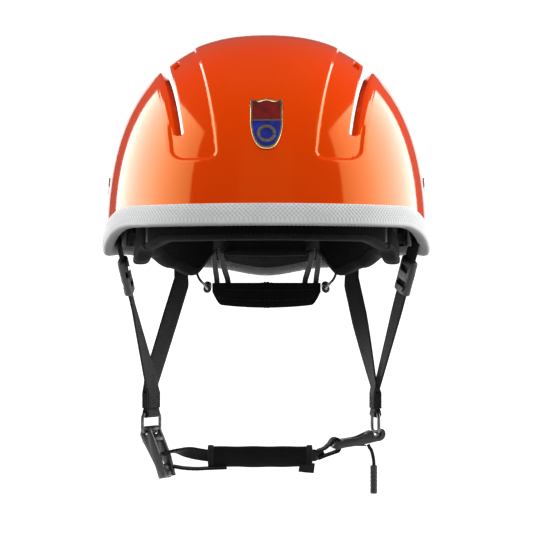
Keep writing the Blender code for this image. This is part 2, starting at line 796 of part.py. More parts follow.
def nape_arms():
    """Two slim plastic arms on each side, from pivots behind the headband down to the nape plate."""
    for side, label in SIDES:
        for order, (top_x, top_y, foot_x) in enumerate(((39.0, 84.4, 36.5), (34.0, 86.6, 28.5))):
            foot_y = nape_y(foot_x, 9.5)
            middle = ((top_x + foot_x) / 2, (top_y + foot_y) / 2, -11)
            route = [(top_x, top_y, TILT_Z + 3.5), (top_x, top_y, TILT_Z - 4), middle,
                     (foot_x, foot_y, -21), (foot_x, foot_y, -31)]
            path = smooth_path([point(side * x, y, z) for x, y, z in route], 3)
            lean = [-2 * NAPE_CURVE * place.x / MM for place in path]
            sides = [Vector((1, slope, 0)) for slope in lean]
            arm = webbing(f"nape_arm_{label}_{order + 1}", path, sides, 4.2, 1.8)
            arm.data.materials[0] = plastic()


def cable_arc(side, start, end, steps):
    """Points on the cable's arc about the cradle's tilt axis, angles forward of straight down."""
    turns = [math.radians(start + (end - start) * i / steps) for i in range(steps + 1)]
    return [
        point(side * CABLE_X, TILT_Y - CABLE_ARC * math.sin(turn), TILT_Z - CABLE_ARC * math.cos(turn))
        for turn in turns
    ]


def cable(side, label):
    """The thin cable from a wing of the headband into its guide on the nape cradle."""
    sliding = cable_arc(side, -11, 15, 6)
    fixed = smooth_path([sliding[-1], *(point(side * x, y, z) for x, y, z in CABLE_ROUTE)], 3)
    return wire(f"tension_cable_{label}", sliding + fixed[1:], CABLE_RADIUS, steel())


def cable_guide(side, label):
    """A curved tube on the cradle that the cable slides in."""
    centre_path = cable_arc(side, *GUIDE_REACH, 6)
    rings_out, rings_in = [], []
    for i, place in enumerate(centre_path):
        along = (centre_path[min(i + 1, 6)] - centre_path[max(i - 1, 0)]).normalized()
        across = Vector((1, 0, 0))
        up = along.cross(across)
        for rings, radius in ((rings_out, 3.0), (rings_in, 1.7)):
            spokes = [2 * math.pi * k / 12 for k in range(12)]
            rings.append([place + (across * math.cos(a) + up * math.sin(a)) * radius * MM for a in spokes])
    return loft(f"cable_guide_{label}", rings_out + rings_in[::-1], plastic(), closed=True)


# ---------------------------------------------------------------- chin straps


def lie(turn):
    """The level direction that webbing's width takes, at an angle in degrees from straight back."""
    return Vector((math.sin(math.radians(turn)), math.cos(math.radians(turn)), 0))


def turning(count, first, last, hold):
    """Width directions that turn from one angle to another after holding the first for a share of the way."""
    shares = [max(0.0, (i / (count - 1) - hold) / (1 - hold)) for i in range(count)]
    return [lie(first + (last - first) * share) for share in shares]


def front_strap_ends(side):
    """Top and foot of a front strap's centreline, in millimetres."""
    face = Vector((0, 0, 1)).cross(lie(RING_TURN[side])) * -1
    top = Vector((side * FRONT_ANCHOR[0], FRONT_ANCHOR[1], FRONT_ANCHOR[2]))
    return top, Vector((*JOIN[side], TAB_TOP_Z + 3.6)) + face * 1.0


def yoke(side, label):
    """Front and rear straps of one side, the sewn tab that joins them, the slider and the wire ring."""
    count = 14
    top, foot = front_strap_ends(side)
    path = [(top + (foot - top) * (i / (count - 1))) * MM for i in range(count)]
    webbing(f"front_strap_{label}", path, turning(count, FRONT_TURN[side], RING_TURN[side], 0.45))
    face = Vector((0, 0, 1)).cross(lie(RING_TURN[side])) * -1
    rear_foot = Vector((*JOIN[side], TAB_TOP_Z + 6.0)) - face * 1.0
    knee = Vector((side * 61.8, 67.6, -21))
    head = [Vector((side * 62.4, 70.4, -10)), Vector((side * 62.2, 69.8, -15)), knee]
    straight = [knee + (rear_foot - knee) * (i / 11) for i in range(1, 12)]
    path = [p * MM for p in head + straight]
    webbing(f"rear_strap_{label}", path, turning(len(path), -side * 37, RING_TURN[side], 0.5))
    yoke_tab(side, label)
    slider(side, label, top, foot)
    wire_ring(side, label)


def yoke_tab(side, label):
    """Where both straps are sewn, with the loop of webbing that holds the wire ring."""
    # In this frame X is across the webbing's faces, Y is down and Z along its width.
    width = lie(RING_TURN[side])
    frame = frame_of((*JOIN[side], RING_TOP_Z), width.cross(Vector((0, 0, 1))), width)
    up = RING_TOP_Z - TAB_TOP_Z
    outer = [(-2.6, up), (2.6, up), (2.6, -2.0), *arc((0, 0), 3.1, -30, 210, 10), (-2.6, -2.0)]
    if (frame.to_3x3() @ Vector((0, 1, 0))).z > 0:
        outer = [(x, -y) for x, y in outer]
    hole = arc((0, 0), 1.75, 0, 330, 11)
    return flat(f"strap_tab_{label}", [outer, hole], WEB_WIDTH, webbing_black(), frame)


def slider_centre(side):
    """Where a strap slider sits on its front strap, in millimetres."""
    top, foot = front_strap_ends(side)
    return top + (foot - top).normalized() * SLIDER_ALONG


def slider(side, label, top, foot):
    """The plastic adjuster that the front strap runs through, with a window over the webbing."""
    down = (foot - top).normalized()
    centre = slider_centre(side)
    across = lie(FRONT_TURN[side])
    across = (across - down * down.dot(across)).normalized()
    turn = Matrix((across, down.cross(across), down)).transposed()
    width, thick, length = SLIDER_SIZE
    body = box(f"strap_slider_{label}_body", SLIDER_SIZE, centre, plastic(), turn=turn)
    bevel(body, 2.0, 2)
    cuts = [
        ((WEB_WIDTH + 0.9, WEB_THICK + 0.9, length + 4), 0, 0),
        ((WEB_WIDTH - 3.5, thick + 6, 4.2), 0, -5.2),
        ((WEB_WIDTH - 3.5, thick + 6, 4.2), 0, 5.2),
    ]
    for i, (size, offset, shift) in enumerate(cuts):
        cutter = box(f"slider_cutter_{label}_{i}", size, centre + down * shift, turn=turn, cutter=True)
        boolean(body, cutter)
    return as_mesh(body, f"strap_slider_{label}")


def wire_ring(side, label):
    """A rounded rectangle of wire, standing along the webbing's width."""
    across = lie(RING_TURN[side])
    half = RING_WIDTH / 2 - 3.5
    low = -RING_HEIGHT
    outline = (
        arc((half, -3.5), 3.5, 90, 0, 4) + arc((half, low + 3.5), 3.5, 0, -90, 4)
        + arc((-half, low + 3.5), 3.5, -90, -180, 4) + arc((-half, -3.5), 3.5, 180, 90, 4)
    )
    centre = Vector((*JOIN[side], RING_TOP_Z))
    places = [(centre + across * u + Vector((0, 0, v))) * MM for u, v in outline]
    return wire(f"wire_ring_{label}", places, RING_WIRE, steel(), cyclic=True)


def buckle_frame(side):
    """A frame on the ring's lower wire: X level and outwards to the right, Y up, Z along the wire."""
    wire_line = lie(RING_TURN[side])
    level = wire_line.cross(Vector((0, 0, 1)))
    place = Vector((*JOIN[side], RING_TOP_Z - RING_HEIGHT)) * MM
    rotation = Matrix((level, Vector((0, 0, 1)), level.cross(Vector((0, 0, 1))))).transposed()
    return Matrix.Translation(place) @ rotation.to_4x4()


def leaning(outline, degrees):
    """An outline turned about the wire."""
    turn = Matrix.Rotation(math.radians(degrees), 2)
    return [tuple(turn @ Vector(knot)) for knot in outline]


def chin_buckle():
    """The left adjuster buckle: it hooks on the wire ring and the strap doubles back round its bar."""
    frame = buckle_frame(-1)
    outline = (
        arc((0, 0), 4.4, 0, 200, 12) + arc((0, 0), 2.2, 200, 0, 10)
        + [(2.2, -5), (1.6, -33), (4.8, -34), (5.6, -20), (4.4, -5)]
    )
    body = flat("chin_buckle", [leaning(outline, BUCKLE_LEAN)], BUCKLE_WIDTH, plastic(), frame)
    for order, (middle, span) in enumerate(((11.5, 7.0), (22.0, 6.0))):
        cutter = box(f"buckle_cutter_{order}", (30, span, BUCKLE_WIDTH - 5), (0, 0, 0), cutter=True)
        cutter.matrix_world = frame @ Matrix.Rotation(math.radians(BUCKLE_LEAN), 4, "Z") @ Matrix.Translation(
            point(3.2, -middle, 0)
        )
        boolean(body, cutter)
    return bevel(as_mesh(body, "chin_buckle"), 0.5, 1)


def release_hook():
    """The right hook: a slim bar with a pocket open upwards for the right wire ring."""
    frame = buckle_frame(1)
    # The pocket is centred a little below the wire.
    pocket = arc((0, -0.9), 2.6, 175, 395, 12)
    nose = arc((0.6, -1.2), 5.0, 40, -90, 10)
    back = [
        (-6, -7.6), (-16, -9.4), (-29, -11.8), (-31.5, -9.6), (-29, -6.6), (-14, -3.6), (-6, -0.2), (-3.6, 0.9),
    ]
    body = flat("release_hook", [pocket + nose + back], HOOK_WIDTH, plastic(), frame)
    slot = box("hook_slot", (3.2, 20, HOOK_WIDTH - 3), (0, 0, 0), cutter=True)
    slot.matrix_world = frame @ Matrix.Translation(point(-26.4, -9.2, 0))
    boolean(body, slot)
    window = box("hook_window", (11, 1.6, 7), (0, 0, 0), cutter=True)
    window.matrix_world = frame @ Matrix.Translation(point(-13.5, -6.4, 0))
    return bevel(as_mesh(body, "release_hook"), 0.6, 1)


def chin_width(x):
    """The way the chin strap's width lies: leaning back under the chin, and level at the hook."""
    lean = math.radians(CHIN_LEAN + (90 - CHIN_LEAN) * min(1.0, max(0.0, (x - 34) / 8)))
    return Vector((0, -math.sin(lean), math.cos(lean)))


def chin_strap():
    """The strap from the left buckle through the chin pad to the release hook, and its sewn tail."""
    through = [(-62.0, 2.0, -139.5), (-54, 3.5, -140.5), (-46, 4.6, -142), (-36, 5, -143), (0, 5, -143.6),
               (34, 5, -142.6), (39.5, 5, -140.2), (43.2, 5, -137.0)]
    path = smooth_path([point(*p) for p in through], 3)
    webbing("chin_strap", path, [chin_width(place.x / MM) for place in path], width=12.5, thick=1.8)
    tail = [(-63.0, 3.0, -154.5), (-56, 3.8, -154.2), (-50, 4.2, -153.7), (-44, 4.4, -153.4)]
    path = smooth_path([point(*p) for p in tail], 3)
    webbing("chin_strap_tail", path, [Vector((0.1, 1, 0.1))] * len(path), width=9, thick=WEB_THICK)


def chin_pad():
    """A fabric sleeve on the chin strap."""
    low, high = CHIN_PAD
    tall, thick = CHIN_PAD_SIZE
    steps = 12
    width = chin_width(0)
    face = width.cross(Vector((-1, 0, 0)))
    spokes = [math.pi / 8 + 2 * math.pi * k / 8 for k in range(8)]
    tunnel = ((1, 0), (1, 0.5), (1, 1), (-1, 1), (-1, 0.5), (-1, 0), (-1, -1), (1, -1))
    rings_out, rings_in = [], []
    for i in range(steps + 1):
        x = low + (high - low) * i / steps
        centre = Vector((x, 5, -143.3 - 0.3 * (1 - ((x + 5) / 38) ** 2)))
        outer = [centre + face * (thick / 2 * math.cos(a)) + width * (tall / 2 * math.sin(a)) for a in spokes]
        inner = [centre + face * (s * 2.0) + width * (u * 7.0) for s, u in tunnel]
        rings_out.append([p * MM for p in outer])
        rings_in.append([p * MM for p in inner])
    return loft("chin_pad", rings_out + rings_in[::-1], fabric(), closed=True)


def pull_cord():
    """The cord that hangs from the release hook, with its moulded toggle."""
    path = smooth_path([point(*p) for p in CORD_ROUTE], 2)
    wire("pull_cord", path, CORD_RADIUS, webbing_black())
    top, bottom = TOGGLE
    inner = CORD_RADIUS + 0.35
    half = (top - bottom) / 2
    profile = [
        (inner, half), (TOGGLE_RADIUS - 0.4, half), (TOGGLE_RADIUS, half - 0.6), (TOGGLE_RADIUS, -half + 0.6),
        (TOGGLE_RADIUS - 0.4, -half), (inner, -half), (inner, half),
    ]
    toggle = turned("pull_toggle", profile, plastic(), sides=16)
    toggle.matrix_world = Matrix.Translation(point(75.3, 4.0, (top + bottom) / 2))
    return toggle


def badge():
    """A plain shield on the brow, with a raised border."""
    place = shell_place(0.01, BADGE_Z)
    out = shell_normal(place)
    edge = arc((-7, 0), 17.5, 0, -50, 6)
    outline = [(-10.5, 17), (10.5, 17), *edge, (0, -19)] + [(-x, y) for x, y in reversed(edge)]
    frame = frame_of(place + out * 1.3, (1, 0, 0), out)
    return bevel(flat("badge", [outline], 1.6, material("badge_gold", GOLD, 0.3, 1.0), frame), 0.4, 1)


# ---------------------------------------------------------------- joints


def joint_empty(name, place, pieces, parent=None):
    """An empty on a joint's axis, with the pieces that move about it parented to it where they are."""
    empty = bpy.data.objects.new(name, None)
    empty.location = point(*place)
    empty.empty_display_size = 10 * MM
    scene_collection("arborist_helmet").objects.link(empty)
    if parent:
        carry(parent, empty)
    for piece in pieces:
        carry(empty, bpy.data.objects[piece])
    return empty


def carry(empty, child):
    """Parents the child to an empty that only has a location, and leaves the child in place."""
    child.parent = empty
    child.matrix_parent_inverse = Matrix.Translation(-empty.location)


def joints():
    """One empty for each joint, on its axis."""
    cradle_pieces = ["nape_pad", "nape_plate", "nape_housing", "click_spring"]
    for _, label in SIDES:
        cradle_pieces += [f"nape_screw_{label}", f"cable_guide_{label}"]
        cradle_pieces += [f"nape_arm_{label}_1", f"nape_arm_{label}_2"]
    tilt = joint_empty("nape_tilt", (0, TILT_Y, TILT_Z), cradle_pieces)
    axle = (0, nape_y(0, 10.7), WHEEL_Z)
    joint_empty("wheel_turn", axle, ["adjuster_wheel", "cable_spool", "wound_cable"], tilt)
    chin = ["chin_buckle", "release_hook", "chin_strap", "chin_strap_tail", "chin_pad"]
    release = joint_empty("chin_release", (*JOIN[-1], RING_TOP_Z - RING_HEIGHT), chin)
    joint_empty("cord_swing", CORD_ROUTE[0], ["pull_cord", "pull_toggle"], release)
    for side, label in SIDES:
        joint_empty(f"{label}_slider_slide", slider_centre(side), [f"strap_slider_{label}"])


def clear_scene():
    for obj in list(bpy.data.objects):
        bpy.data.objects.remove(obj)


def main():
    clear_scene()
    shell_and_liner()
    edge_trim()
    rivets()
    badge()
    suspension()
    nape_cradle()
    for side, label in SIDES:
        yoke(side, label)
    chin_buckle()
    release_hook()
    chin_strap()
    chin_pad()
    pull_cord()
    joints()


main()
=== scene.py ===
import math
from collections import Counter

import bmesh
import bpy
import numpy as np
from mathutils import Matrix, Vector


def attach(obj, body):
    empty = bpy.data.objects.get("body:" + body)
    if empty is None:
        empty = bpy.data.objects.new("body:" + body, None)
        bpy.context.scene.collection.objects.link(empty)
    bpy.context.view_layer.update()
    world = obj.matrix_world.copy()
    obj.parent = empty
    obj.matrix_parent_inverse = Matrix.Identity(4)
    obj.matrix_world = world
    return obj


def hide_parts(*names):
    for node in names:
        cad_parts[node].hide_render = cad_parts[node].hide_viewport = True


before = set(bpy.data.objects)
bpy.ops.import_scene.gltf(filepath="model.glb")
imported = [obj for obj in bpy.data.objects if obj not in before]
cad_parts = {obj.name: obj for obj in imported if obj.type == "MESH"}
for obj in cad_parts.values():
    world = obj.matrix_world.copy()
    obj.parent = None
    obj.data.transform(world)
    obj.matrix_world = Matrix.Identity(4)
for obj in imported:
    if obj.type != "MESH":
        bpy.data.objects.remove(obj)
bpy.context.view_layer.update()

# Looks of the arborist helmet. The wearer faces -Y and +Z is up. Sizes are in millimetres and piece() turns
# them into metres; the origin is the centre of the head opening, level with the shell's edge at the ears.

MM = 0.001
SIDES = ((-1, "left"), (1, "right"))

# Camera
CAMERA_BACK = 1740.0
CAMERA_HEIGHT = -10.0
LENS = 167.8

# Shell, as in the CAD: a superellipsoid dome, a little narrower at the brow.
HALF_WIDTH, HALF_LENGTH, HEIGHT = 112.0, 141.0, 151.0
PLAN_POWER, PROFILE_POWER, BROW_TAPER = 2.15, 2.5, 0.03
SHELL_WALL, LINER_INSET, LINER_WALL, LINER_RISE, LINER_HOLE = 3.2, 3.8, 1.5, 2.9, 1.2
RIM = ((0, 19.5), (46, 19.0), (94, 0.5), (122, 1.5), (142, -1.0), (162, -8.0), (180, -14.0))
SHELL_COLUMNS, SHELL_ROWS, SHELL_CUTS = 300, 84, 3
LINER_COLUMNS, LINER_ROWS, LINER_CUTS = 180, 50, 1

# Vents and sunk panels lie along lines |x| = line - sweep * (y / SWEEP_LENGTH)^2, with one sweep before the
# crown and one behind it.
SWEEP_FRONT, SWEEP_REAR, SWEEP_LENGTH = 14.0, 8.2, 112.0
SLOT_LINE, SLOT_WIDTH, SLOT_LOW = 71.8, 5.0, 76.5
WINDOW_LINE, WINDOW_Y, WINDOW_WIDTH, WINDOW_LENGTH = 65.2, -50.0, 3.8, 16.0
PANEL_IN, PANEL_OUT, PANEL_LOW, PANEL_ROUND, PANEL_DEPTH, PANEL_WALL = 49.8, 77.5, 59.0, 8.0, 1.3, 2.4
FLANGE_DEPTH, FLANGE_LEAN = 5.6, 1.2

# Trim
TRIM_OUTER, TRIM_INNER, TRIM_UP, TRIM_UP_INSIDE, TRIM_BELOW = 2.5, 1.9, 11.4, 3.6, 2.7
TRIM_COLUMNS, BRAID_PITCH, BRAID_HEIGHT = 1500, 2.9, 0.8

# Rivets: plan angle from the brow, height, head radius, how far the head stands off the dome
RIVETS = (("side_rivet", 88, 46.0, 5.9, 0.3), ("rear_rivet", 108, 10.0, 4.2, 2.7))

# Headband
BAND_Y, BAND_HALF_WIDTH, BAND_FRONT, BAND_REAR, BAND_POWER = -20.0, 92.0, 92.0, 112.0, 2.1
PAD_THICK = 12.0
BAND_LOW = ((0, 7.5), (45, 7.0), (65, 1.5), (78, -6.5), (87, -8.5), (105, -2.0), (118, -3.0),
            (135, -11.0), (148, -16.5), (159, -1.0), (163, -2.0), (180, -2.5))
BAND_HIGH = ((0, 36.0), (60, 34.0), (100, 30.0), (150, 24.0), (180, 21.0))
BROW_END, WING_END, REAR_PAD_START = 62.0, 157.8, 163.5

# Nape cradle
TILT_Y, TILT_Z = 84.0, 5.0
NAPE_LOW, NAPE_HIGH, NAPE_HALF_WIDTH, NAPE_Y, NAPE_CURVE = -41.0, -21.5, 40.0, 94.0, 0.0085
WHEEL_Z, WHEEL_RADIUS, WHEEL_FROM, WHEEL_TO = -31.2, 10.4, 16.6, 23.6
CABLE_X, CABLE_ARC, CABLE_RADIUS = 43.5, 31.5, 1.0
CABLE_ROUTE = ((46, 69.5, -22.5), (49, 70, -19), (50.8, 74.8, -14.5), (50.5, 77.8, -9.5))

# Webbing and chin straps
WEB_WIDTH, WEB_THICK = 15.0, 1.4
FRONT_ANCHOR = (102.6, -25.0, 8.0)
LUG_TURN, LUG_HEIGHT, LUG_INSET = 75.5, 15.0, 11.5
JOIN = {-1: (-81.0, 5.0), 1: (76.5, 5.0)}
TAB_TOP_Z, RING_TOP_Z = -99.0, -113.0
RING_HEIGHT, RING_WIDTH, RING_WIRE = 13.0, 21.5, 1.2
FRONT_TURN = {-1: 6, 1: -24}
RING_TURN = {-1: 32, 1: -10}
SLIDER_SIZE, SLIDER_ALONG = (18.5, 6.6, 25.0), 26.0
CHIN_PAD, CHIN_PAD_SIZE, CHIN_LEAN, CHIN_SPOKES = (-41.0, 32.0), (18.5, 9.0), 40, 28
BUCKLE_WIDTH, BUCKLE_LEAN, HOOK_WIDTH = 15.0, 20, 15.0
CORD_RADIUS = 1.25
CORD_ROUTE = ((71.4, 5.0, -134.9), (72.3, 4.8, -137.0), (73.6, 4.5, -139.0), (74.6, 4.2, -142.5),
              (75.2, 4.0, -146.0), (75.4, 4.0, -150.0), (75.3, 4.0, -158.0), (75.2, 4.0, -169.0))
TOGGLE_TOP, TOGGLE_LOW, TOGGLE_RADIUS = -149.5, -169.5, 2.5

PAD_SWELL = 0.9  # the furthest that a pad's surface moves as it fills
PAD_SECTION_HELD = (0, 1, 17, 18, 19, 20, 21, 22)  # the points of pad_section() at the sewn lower edge
BADGE_HEIGHT = 83.0


# ---------------------------------------------------------------- materials


class Tree:
    """A material's node tree, with short ways to add the nodes that the looks below share."""

    def __init__(self, name, colour, roughness, **settings):
        self.material = bpy.data.materials.new(name)
        self.material.use_nodes = True
        self.material.diffuse_color = (*colour, 1)
        self.nodes = self.material.node_tree.nodes
        self.links = self.material.node_tree.links
        self.shader = self.nodes["Principled BSDF"]
        self.set("Base Color", (*colour, 1))
        self.set("Roughness", roughness)
        for label, value in settings.items():
            self.set(label.replace("_", " ").title().replace("Ior", "IOR"), value)

    def set(self, label, value):
        self.shader.inputs[label].default_value = value

    def node(self, kind, output, inputs, **values):
        """A node's output socket, with its settings and its inputs given as values or sockets."""
        made = self.nodes.new(f"ShaderNode{kind}")
        for key, value in values.items():
            setattr(made, key, value)
        for label, value in inputs.items():
            socket = made.inputs[label]
            if isinstance(value, bpy.types.NodeSocket):
                self.links.new(value, socket)
            else:
                socket.default_value = (*value, 1) if socket.type == "RGBA" else value
        return made.outputs[output]

    def place(self, source="Object", scale=(1, 1, 1)):
        """A coordinate socket in the object's own metres or in the UV map's millimetres."""
        return self.node("Mapping", "Vector", {"Vector": self.node("TexCoord", source, {}), "Scale": scale})

    def noise(self, vector, scale, detail=3.0, distortion=0.0):
        return self.node("TexNoise", "Fac", {"Vector": vector, "Scale": scale, "Detail": detail,
                                             "Distortion": distortion})

    def wave(self, vector, scale, direction="X", distortion=0.0):
        return self.node("TexWave", "Fac", {"Vector": vector, "Scale": scale, "Distortion": distortion},
                         wave_type="BANDS", bands_direction=direction)

    def scratches(self, scale):
        return self.node("TexVoronoi", "Distance", {"Vector": self.place(scale=(1, 1, 0.06)), "Scale": scale},
                         feature="DISTANCE_TO_EDGE")

    def pointed(self):
        return self.node("NewGeometry", "Pointiness", {})

    def math(self, operation, first, second):
        return self.node("Math", 0, {0: first, 1: second}, operation=operation)

    def mix(self, factor, first, second):
        return self.node("Mix", 2, {0: factor, 6: first, 7: second}, data_type="RGBA")

    def ramp(self, factor, *stops):
        """A colour ramp through (place, colour) stops."""
        made = self.nodes.new("ShaderNodeValToRGB")
        elements = made.color_ramp.elements
        while len(elements) < len(stops):
            elements.new(0.5)
        for element, (place, colour) in zip(elements, stops):
            element.position = place
            element.color = (*colour, 1)
        self.links.new(factor, made.inputs["Fac"])
        return made.outputs["Color"]

    def level(self, factor, *stops):
        return self.ramp(factor, *((place, (value,) * 3) for place, value in stops))

    def colour(self, socket):
        self.links.new(socket, self.shader.inputs["Base Color"])

    def roughness(self, socket):
        self.links.new(socket, self.shader.inputs["Roughness"])

    def bump(self, *heights):
        """Bumps from (height socket, strength, distance in millimetres), one on another."""
        inputs = {}
        for height, strength, distance in heights:
            inputs.update(Height=height, Strength=strength, Distance=distance * MM)
            inputs["Normal"] = self.node("Bump", "Normal", inputs)
        self.links.new(inputs["Normal"], self.shader.inputs["Normal"])


def painted_shell():
    """Glossy orange moulding under a clear coat, with faint flow marks."""
    tree = Tree("shell_orange", (0.68, 0.042, 0.0), 0.08,
                coat_weight=0.05, coat_roughness=0.02, coat_ior=1.45)
    tree.set("Specular IOR Level", 0.85)
    tree.set("Specular Tint", (1.0, 0.64, 0.12, 1))
    place = tree.place()
    flow = tree.noise(place, 9, 2, 0.4)
    base = tree.ramp(flow, (0.3, (0.665, 0.040, 0.0)), (0.7, (0.695, 0.045, 0.0)))
    worn = tree.level(tree.pointed(), (0.53, 0.0), (0.62, 0.3))
    tree.colour(tree.mix(worn, base, (0.86, 0.16, 0.02)))
    tree.roughness(tree.level(tree.noise(place, 60, 5), (0.35, 0.07), (0.7, 0.1)))
    tree.bump((tree.noise(place, 900, 1), 0.006, 0.1))
    return tree.material


def gloss_liner():
    """The black inside shell, glossy with fine moulding lines."""
    tree = Tree("liner_black", (0.012, 0.012, 0.013), 0.18, coat_weight=0.5, coat_roughness=0.06)
    place = tree.place()
    cloud = tree.noise(place, 30, 4)
    tree.colour(tree.ramp(cloud, (0.3, (0.008, 0.008, 0.009)), (0.8, (0.02, 0.02, 0.021))))
    tree.roughness(tree.level(cloud, (0.3, 0.12), (0.75, 0.3)))
    tree.bump((tree.noise(place, 260, 2), 0.03, 0.2))
    return tree.material


def braided_trim():
    """Pale grey-white textile tape: threads, patchy soiling, and painted shade darkening the hollows of the
    braid.
    """
    tree = Tree("trim_white", (0.56, 0.565, 0.57), 0.72, sheen_weight=0.35, sheen_roughness=0.5)
    thread = tree.noise(tree.place(), 2200, 3)
    soil = tree.noise(tree.place(), 28, 4)
    base = tree.ramp(soil, (0.3, (0.5, 0.505, 0.51)), (0.7, (0.6, 0.605, 0.605)))
    # Painted shade: the braid's hollows are darkened in colour, standing in for the shadows between its
    # crossings.
    painted_shade_in_hollows = tree.level(tree.pointed(), (0.46, 1.0), (0.53, 0.0))
    threads = tree.mix(tree.level(thread, (0.3, 0.0), (0.7, 0.35)), base, (0.78, 0.78, 0.77))
    tree.colour(tree.mix(painted_shade_in_hollows, threads, (0.4, 0.41, 0.42)))
    tree.bump((thread, 0.35, 0.12))
    return tree.material


def felt(name, dark, light):
    """Brushed fabric over foam: matted fibres and faint lint."""
    tree = Tree(name, dark, 0.95, sheen_weight=0.06, sheen_roughness=0.45)
    tree.set("Specular IOR Level", 0.05)
    place = tree.place()
    fibre = tree.noise(place, 1500, 4, 0.8)
    mat = tree.noise(place, 140, 4)
    base = tree.ramp(fibre, (0.35, dark), (0.72, light))
    cloudy = tree.mix(tree.level(mat, (0.35, 0.0), (0.7, 0.55)), base, dark)
    lint = tree.level(tree.noise(place, 700, 1, 3.0), (0.72, 0.0), (0.78, 0.35))
    tree.colour(tree.mix(lint, cloudy, tuple(4 * c for c in light)))
    tree.bump((mat, 0.25, 0.6), (fibre, 0.6, 0.25))
    return tree.material


def woven(name, dark, light):
    """Flat nylon webbing: yarns across a fine twill, a slight shine on the crowns."""
    tree = Tree(name, dark, 0.62, sheen_weight=0.06, sheen_roughness=0.4)
    tree.set("Specular IOR Level", 0.12)
    yarn = tree.wave(tree.place("UV"), 0.42, "X", 0.4)
    cross = tree.wave(tree.place("UV"), 0.7, "Y", 0.3)
    weave = tree.math("MULTIPLY", yarn, cross)
    fuzz = tree.noise(tree.place(), 900, 3)
    base = tree.ramp(weave, (0.1, dark), (0.8, light))
    tree.colour(tree.mix(tree.level(fuzz, (0.4, 0.0), (0.75, 0.5)), base, tuple(0.5 * c for c in dark)))
    tree.roughness(tree.level(weave, (0.0, 0.75), (1.0, 0.5)))
    tree.bump((weave, 0.5, 0.25), (fuzz, 0.3, 0.15))
    return tree.material


def moulded(name, dark, light, rough=0.42):
    """Moulded plastic: fine spark grain, scuffed paler where it is handled."""
    tree = Tree(name, dark, rough)
    tree.set("Specular IOR Level", 0.3)
    place = tree.place()
    grain = tree.noise(place, 1800, 2)
    cloud = tree.noise(place, 90, 4)
    base = tree.ramp(cloud, (0.3, dark), (0.75, light))
    worn = tree.level(tree.pointed(), (0.52, 0.0), (0.6, 0.8))
    tree.colour(tree.mix(worn, base, tuple(min(1, 2.2 * c + 0.006) for c in light)))
    scuff = tree.level(tree.scratches(90), (0.0, 0.12), (0.05, 0.0))
    tree.roughness(tree.math("ADD", tree.level(cloud, (0.3, rough - 0.1), (0.7, rough + 0.08)), scuff))
    tree.bump((grain, 0.25, 0.08))
    return tree.material


def metal(name, dark, light, rough=0.2):
    """Bright metal with hairline scratches and duller patches."""
    tree = Tree(name, light, rough, metallic=1.0)
    place = tree.place()
    cloud = tree.noise(place, 160, 4)
    tree.colour(tree.ramp(cloud, (0.3, dark), (0.65, light)))
    line = tree.level(tree.scratches(400), (0.0, 0.2), (0.06, 0.0))
    tree.roughness(tree.math("ADD", tree.level(cloud, (0.3, rough + 0.12), (0.7, rough)), line))
    tree.bump((line, 0.1, 0.05))
    return tree.material


def enamel(name, dark, light):
    """Glassy enamel fill, its colour deeper in random patches."""
    tree = Tree(name, light, 0.12, coat_weight=1.0, coat_roughness=0.04)
    depth = tree.noise(tree.place(), 220, 3)
    tree.colour(tree.ramp(depth, (0.3, dark), (0.7, light)))
    tree.bump((tree.noise(tree.place(), 500, 2), 0.05, 0.1))
    return tree.material


def all_looks():
    return {
        "orange": painted_shell(),
        "liner": gloss_liner(),
        "trim": braided_trim(),
        "felt": felt("felt_black", (0.004, 0.004, 0.004), (0.013, 0.013, 0.013)),
        "rear_felt": felt("felt_rear", (0.014, 0.014, 0.014), (0.034, 0.034, 0.034)),
        "binding": felt("binding_tape", (0.012, 0.012, 0.012), (0.032, 0.032, 0.032)),
        "webbing": woven("webbing_black", (0.004, 0.004, 0.004), (0.014, 0.0135, 0.013)),
        "thread": woven("thread_black", (0.02, 0.02, 0.02), (0.06, 0.06, 0.06)),
        "plastic": moulded("plastic_black", (0.006, 0.006, 0.006), (0.011, 0.011, 0.011)),
        "grey": moulded("plastic_grey", (0.10, 0.10, 0.10), (0.15, 0.15, 0.15), 0.38),
        "rubber": moulded("rubber_black", (0.008, 0.008, 0.008), (0.014, 0.014, 0.014), 0.6),
        "steel": metal("steel_bright", (0.72, 0.72, 0.73), (0.9, 0.9, 0.9), 0.32),
        "dark_steel": metal("steel_dark", (0.05, 0.05, 0.052), (0.11, 0.11, 0.115), 0.3),
        "gold": metal("badge_gold", (0.5, 0.4, 0.18), (0.78, 0.68, 0.4), 0.22),
        "red": enamel("enamel_red", (0.09, 0.003, 0.002), (0.2, 0.006, 0.004)),
        "blue": enamel("enamel_blue", (0.004, 0.008, 0.13), (0.01, 0.02, 0.28)),
    }


LOOKS = all_looks()


# ---------------------------------------------------------------- mesh helpers


def between(stations, at):
    """Values read between (place, value) stations, easing in and out of each one."""
    at = np.asarray(at, float)
    places, values = (np.array(column, float) for column in zip(*stations))
    i = np.clip(np.searchsorted(places, at, side="right") - 1, 0, len(places) - 2)
    share = np.clip((at - places[i]) / (places[i + 1] - places[i]), 0, 1)
    share = share * share * (3 - 2 * share)
    return values[i] + (values[i + 1] - values[i]) * share


def unit(vectors):
    vectors = np.asarray(vectors, float)
    return vectors / np.maximum(np.linalg.norm(vectors, axis=-1, keepdims=True), 1e-12)


def ease(share):
    share = np.clip(share, 0, 1)
    return share * share * (3 - 2 * share)


def smooth_path(points, steps):
    """Points of a Catmull-Rom curve through the given ones, steps to each stretch."""
    knots = np.array(points, float)
    knots = np.vstack([2 * knots[0] - knots[1], knots, 2 * knots[-1] - knots[-2]])
    t = (np.arange(steps) / steps)[:, None]
    path = [
        0.5 * (2 * b + (c - a) * t + (2 * a - 5 * b + 4 * c - d) * t**2 + (3 * b - a - 3 * c + d) * t**3)
        for a, b, c, d in zip(knots, knots[1:], knots[2:], knots[3:])
    ]
    return np.vstack([*path, knots[-2]])


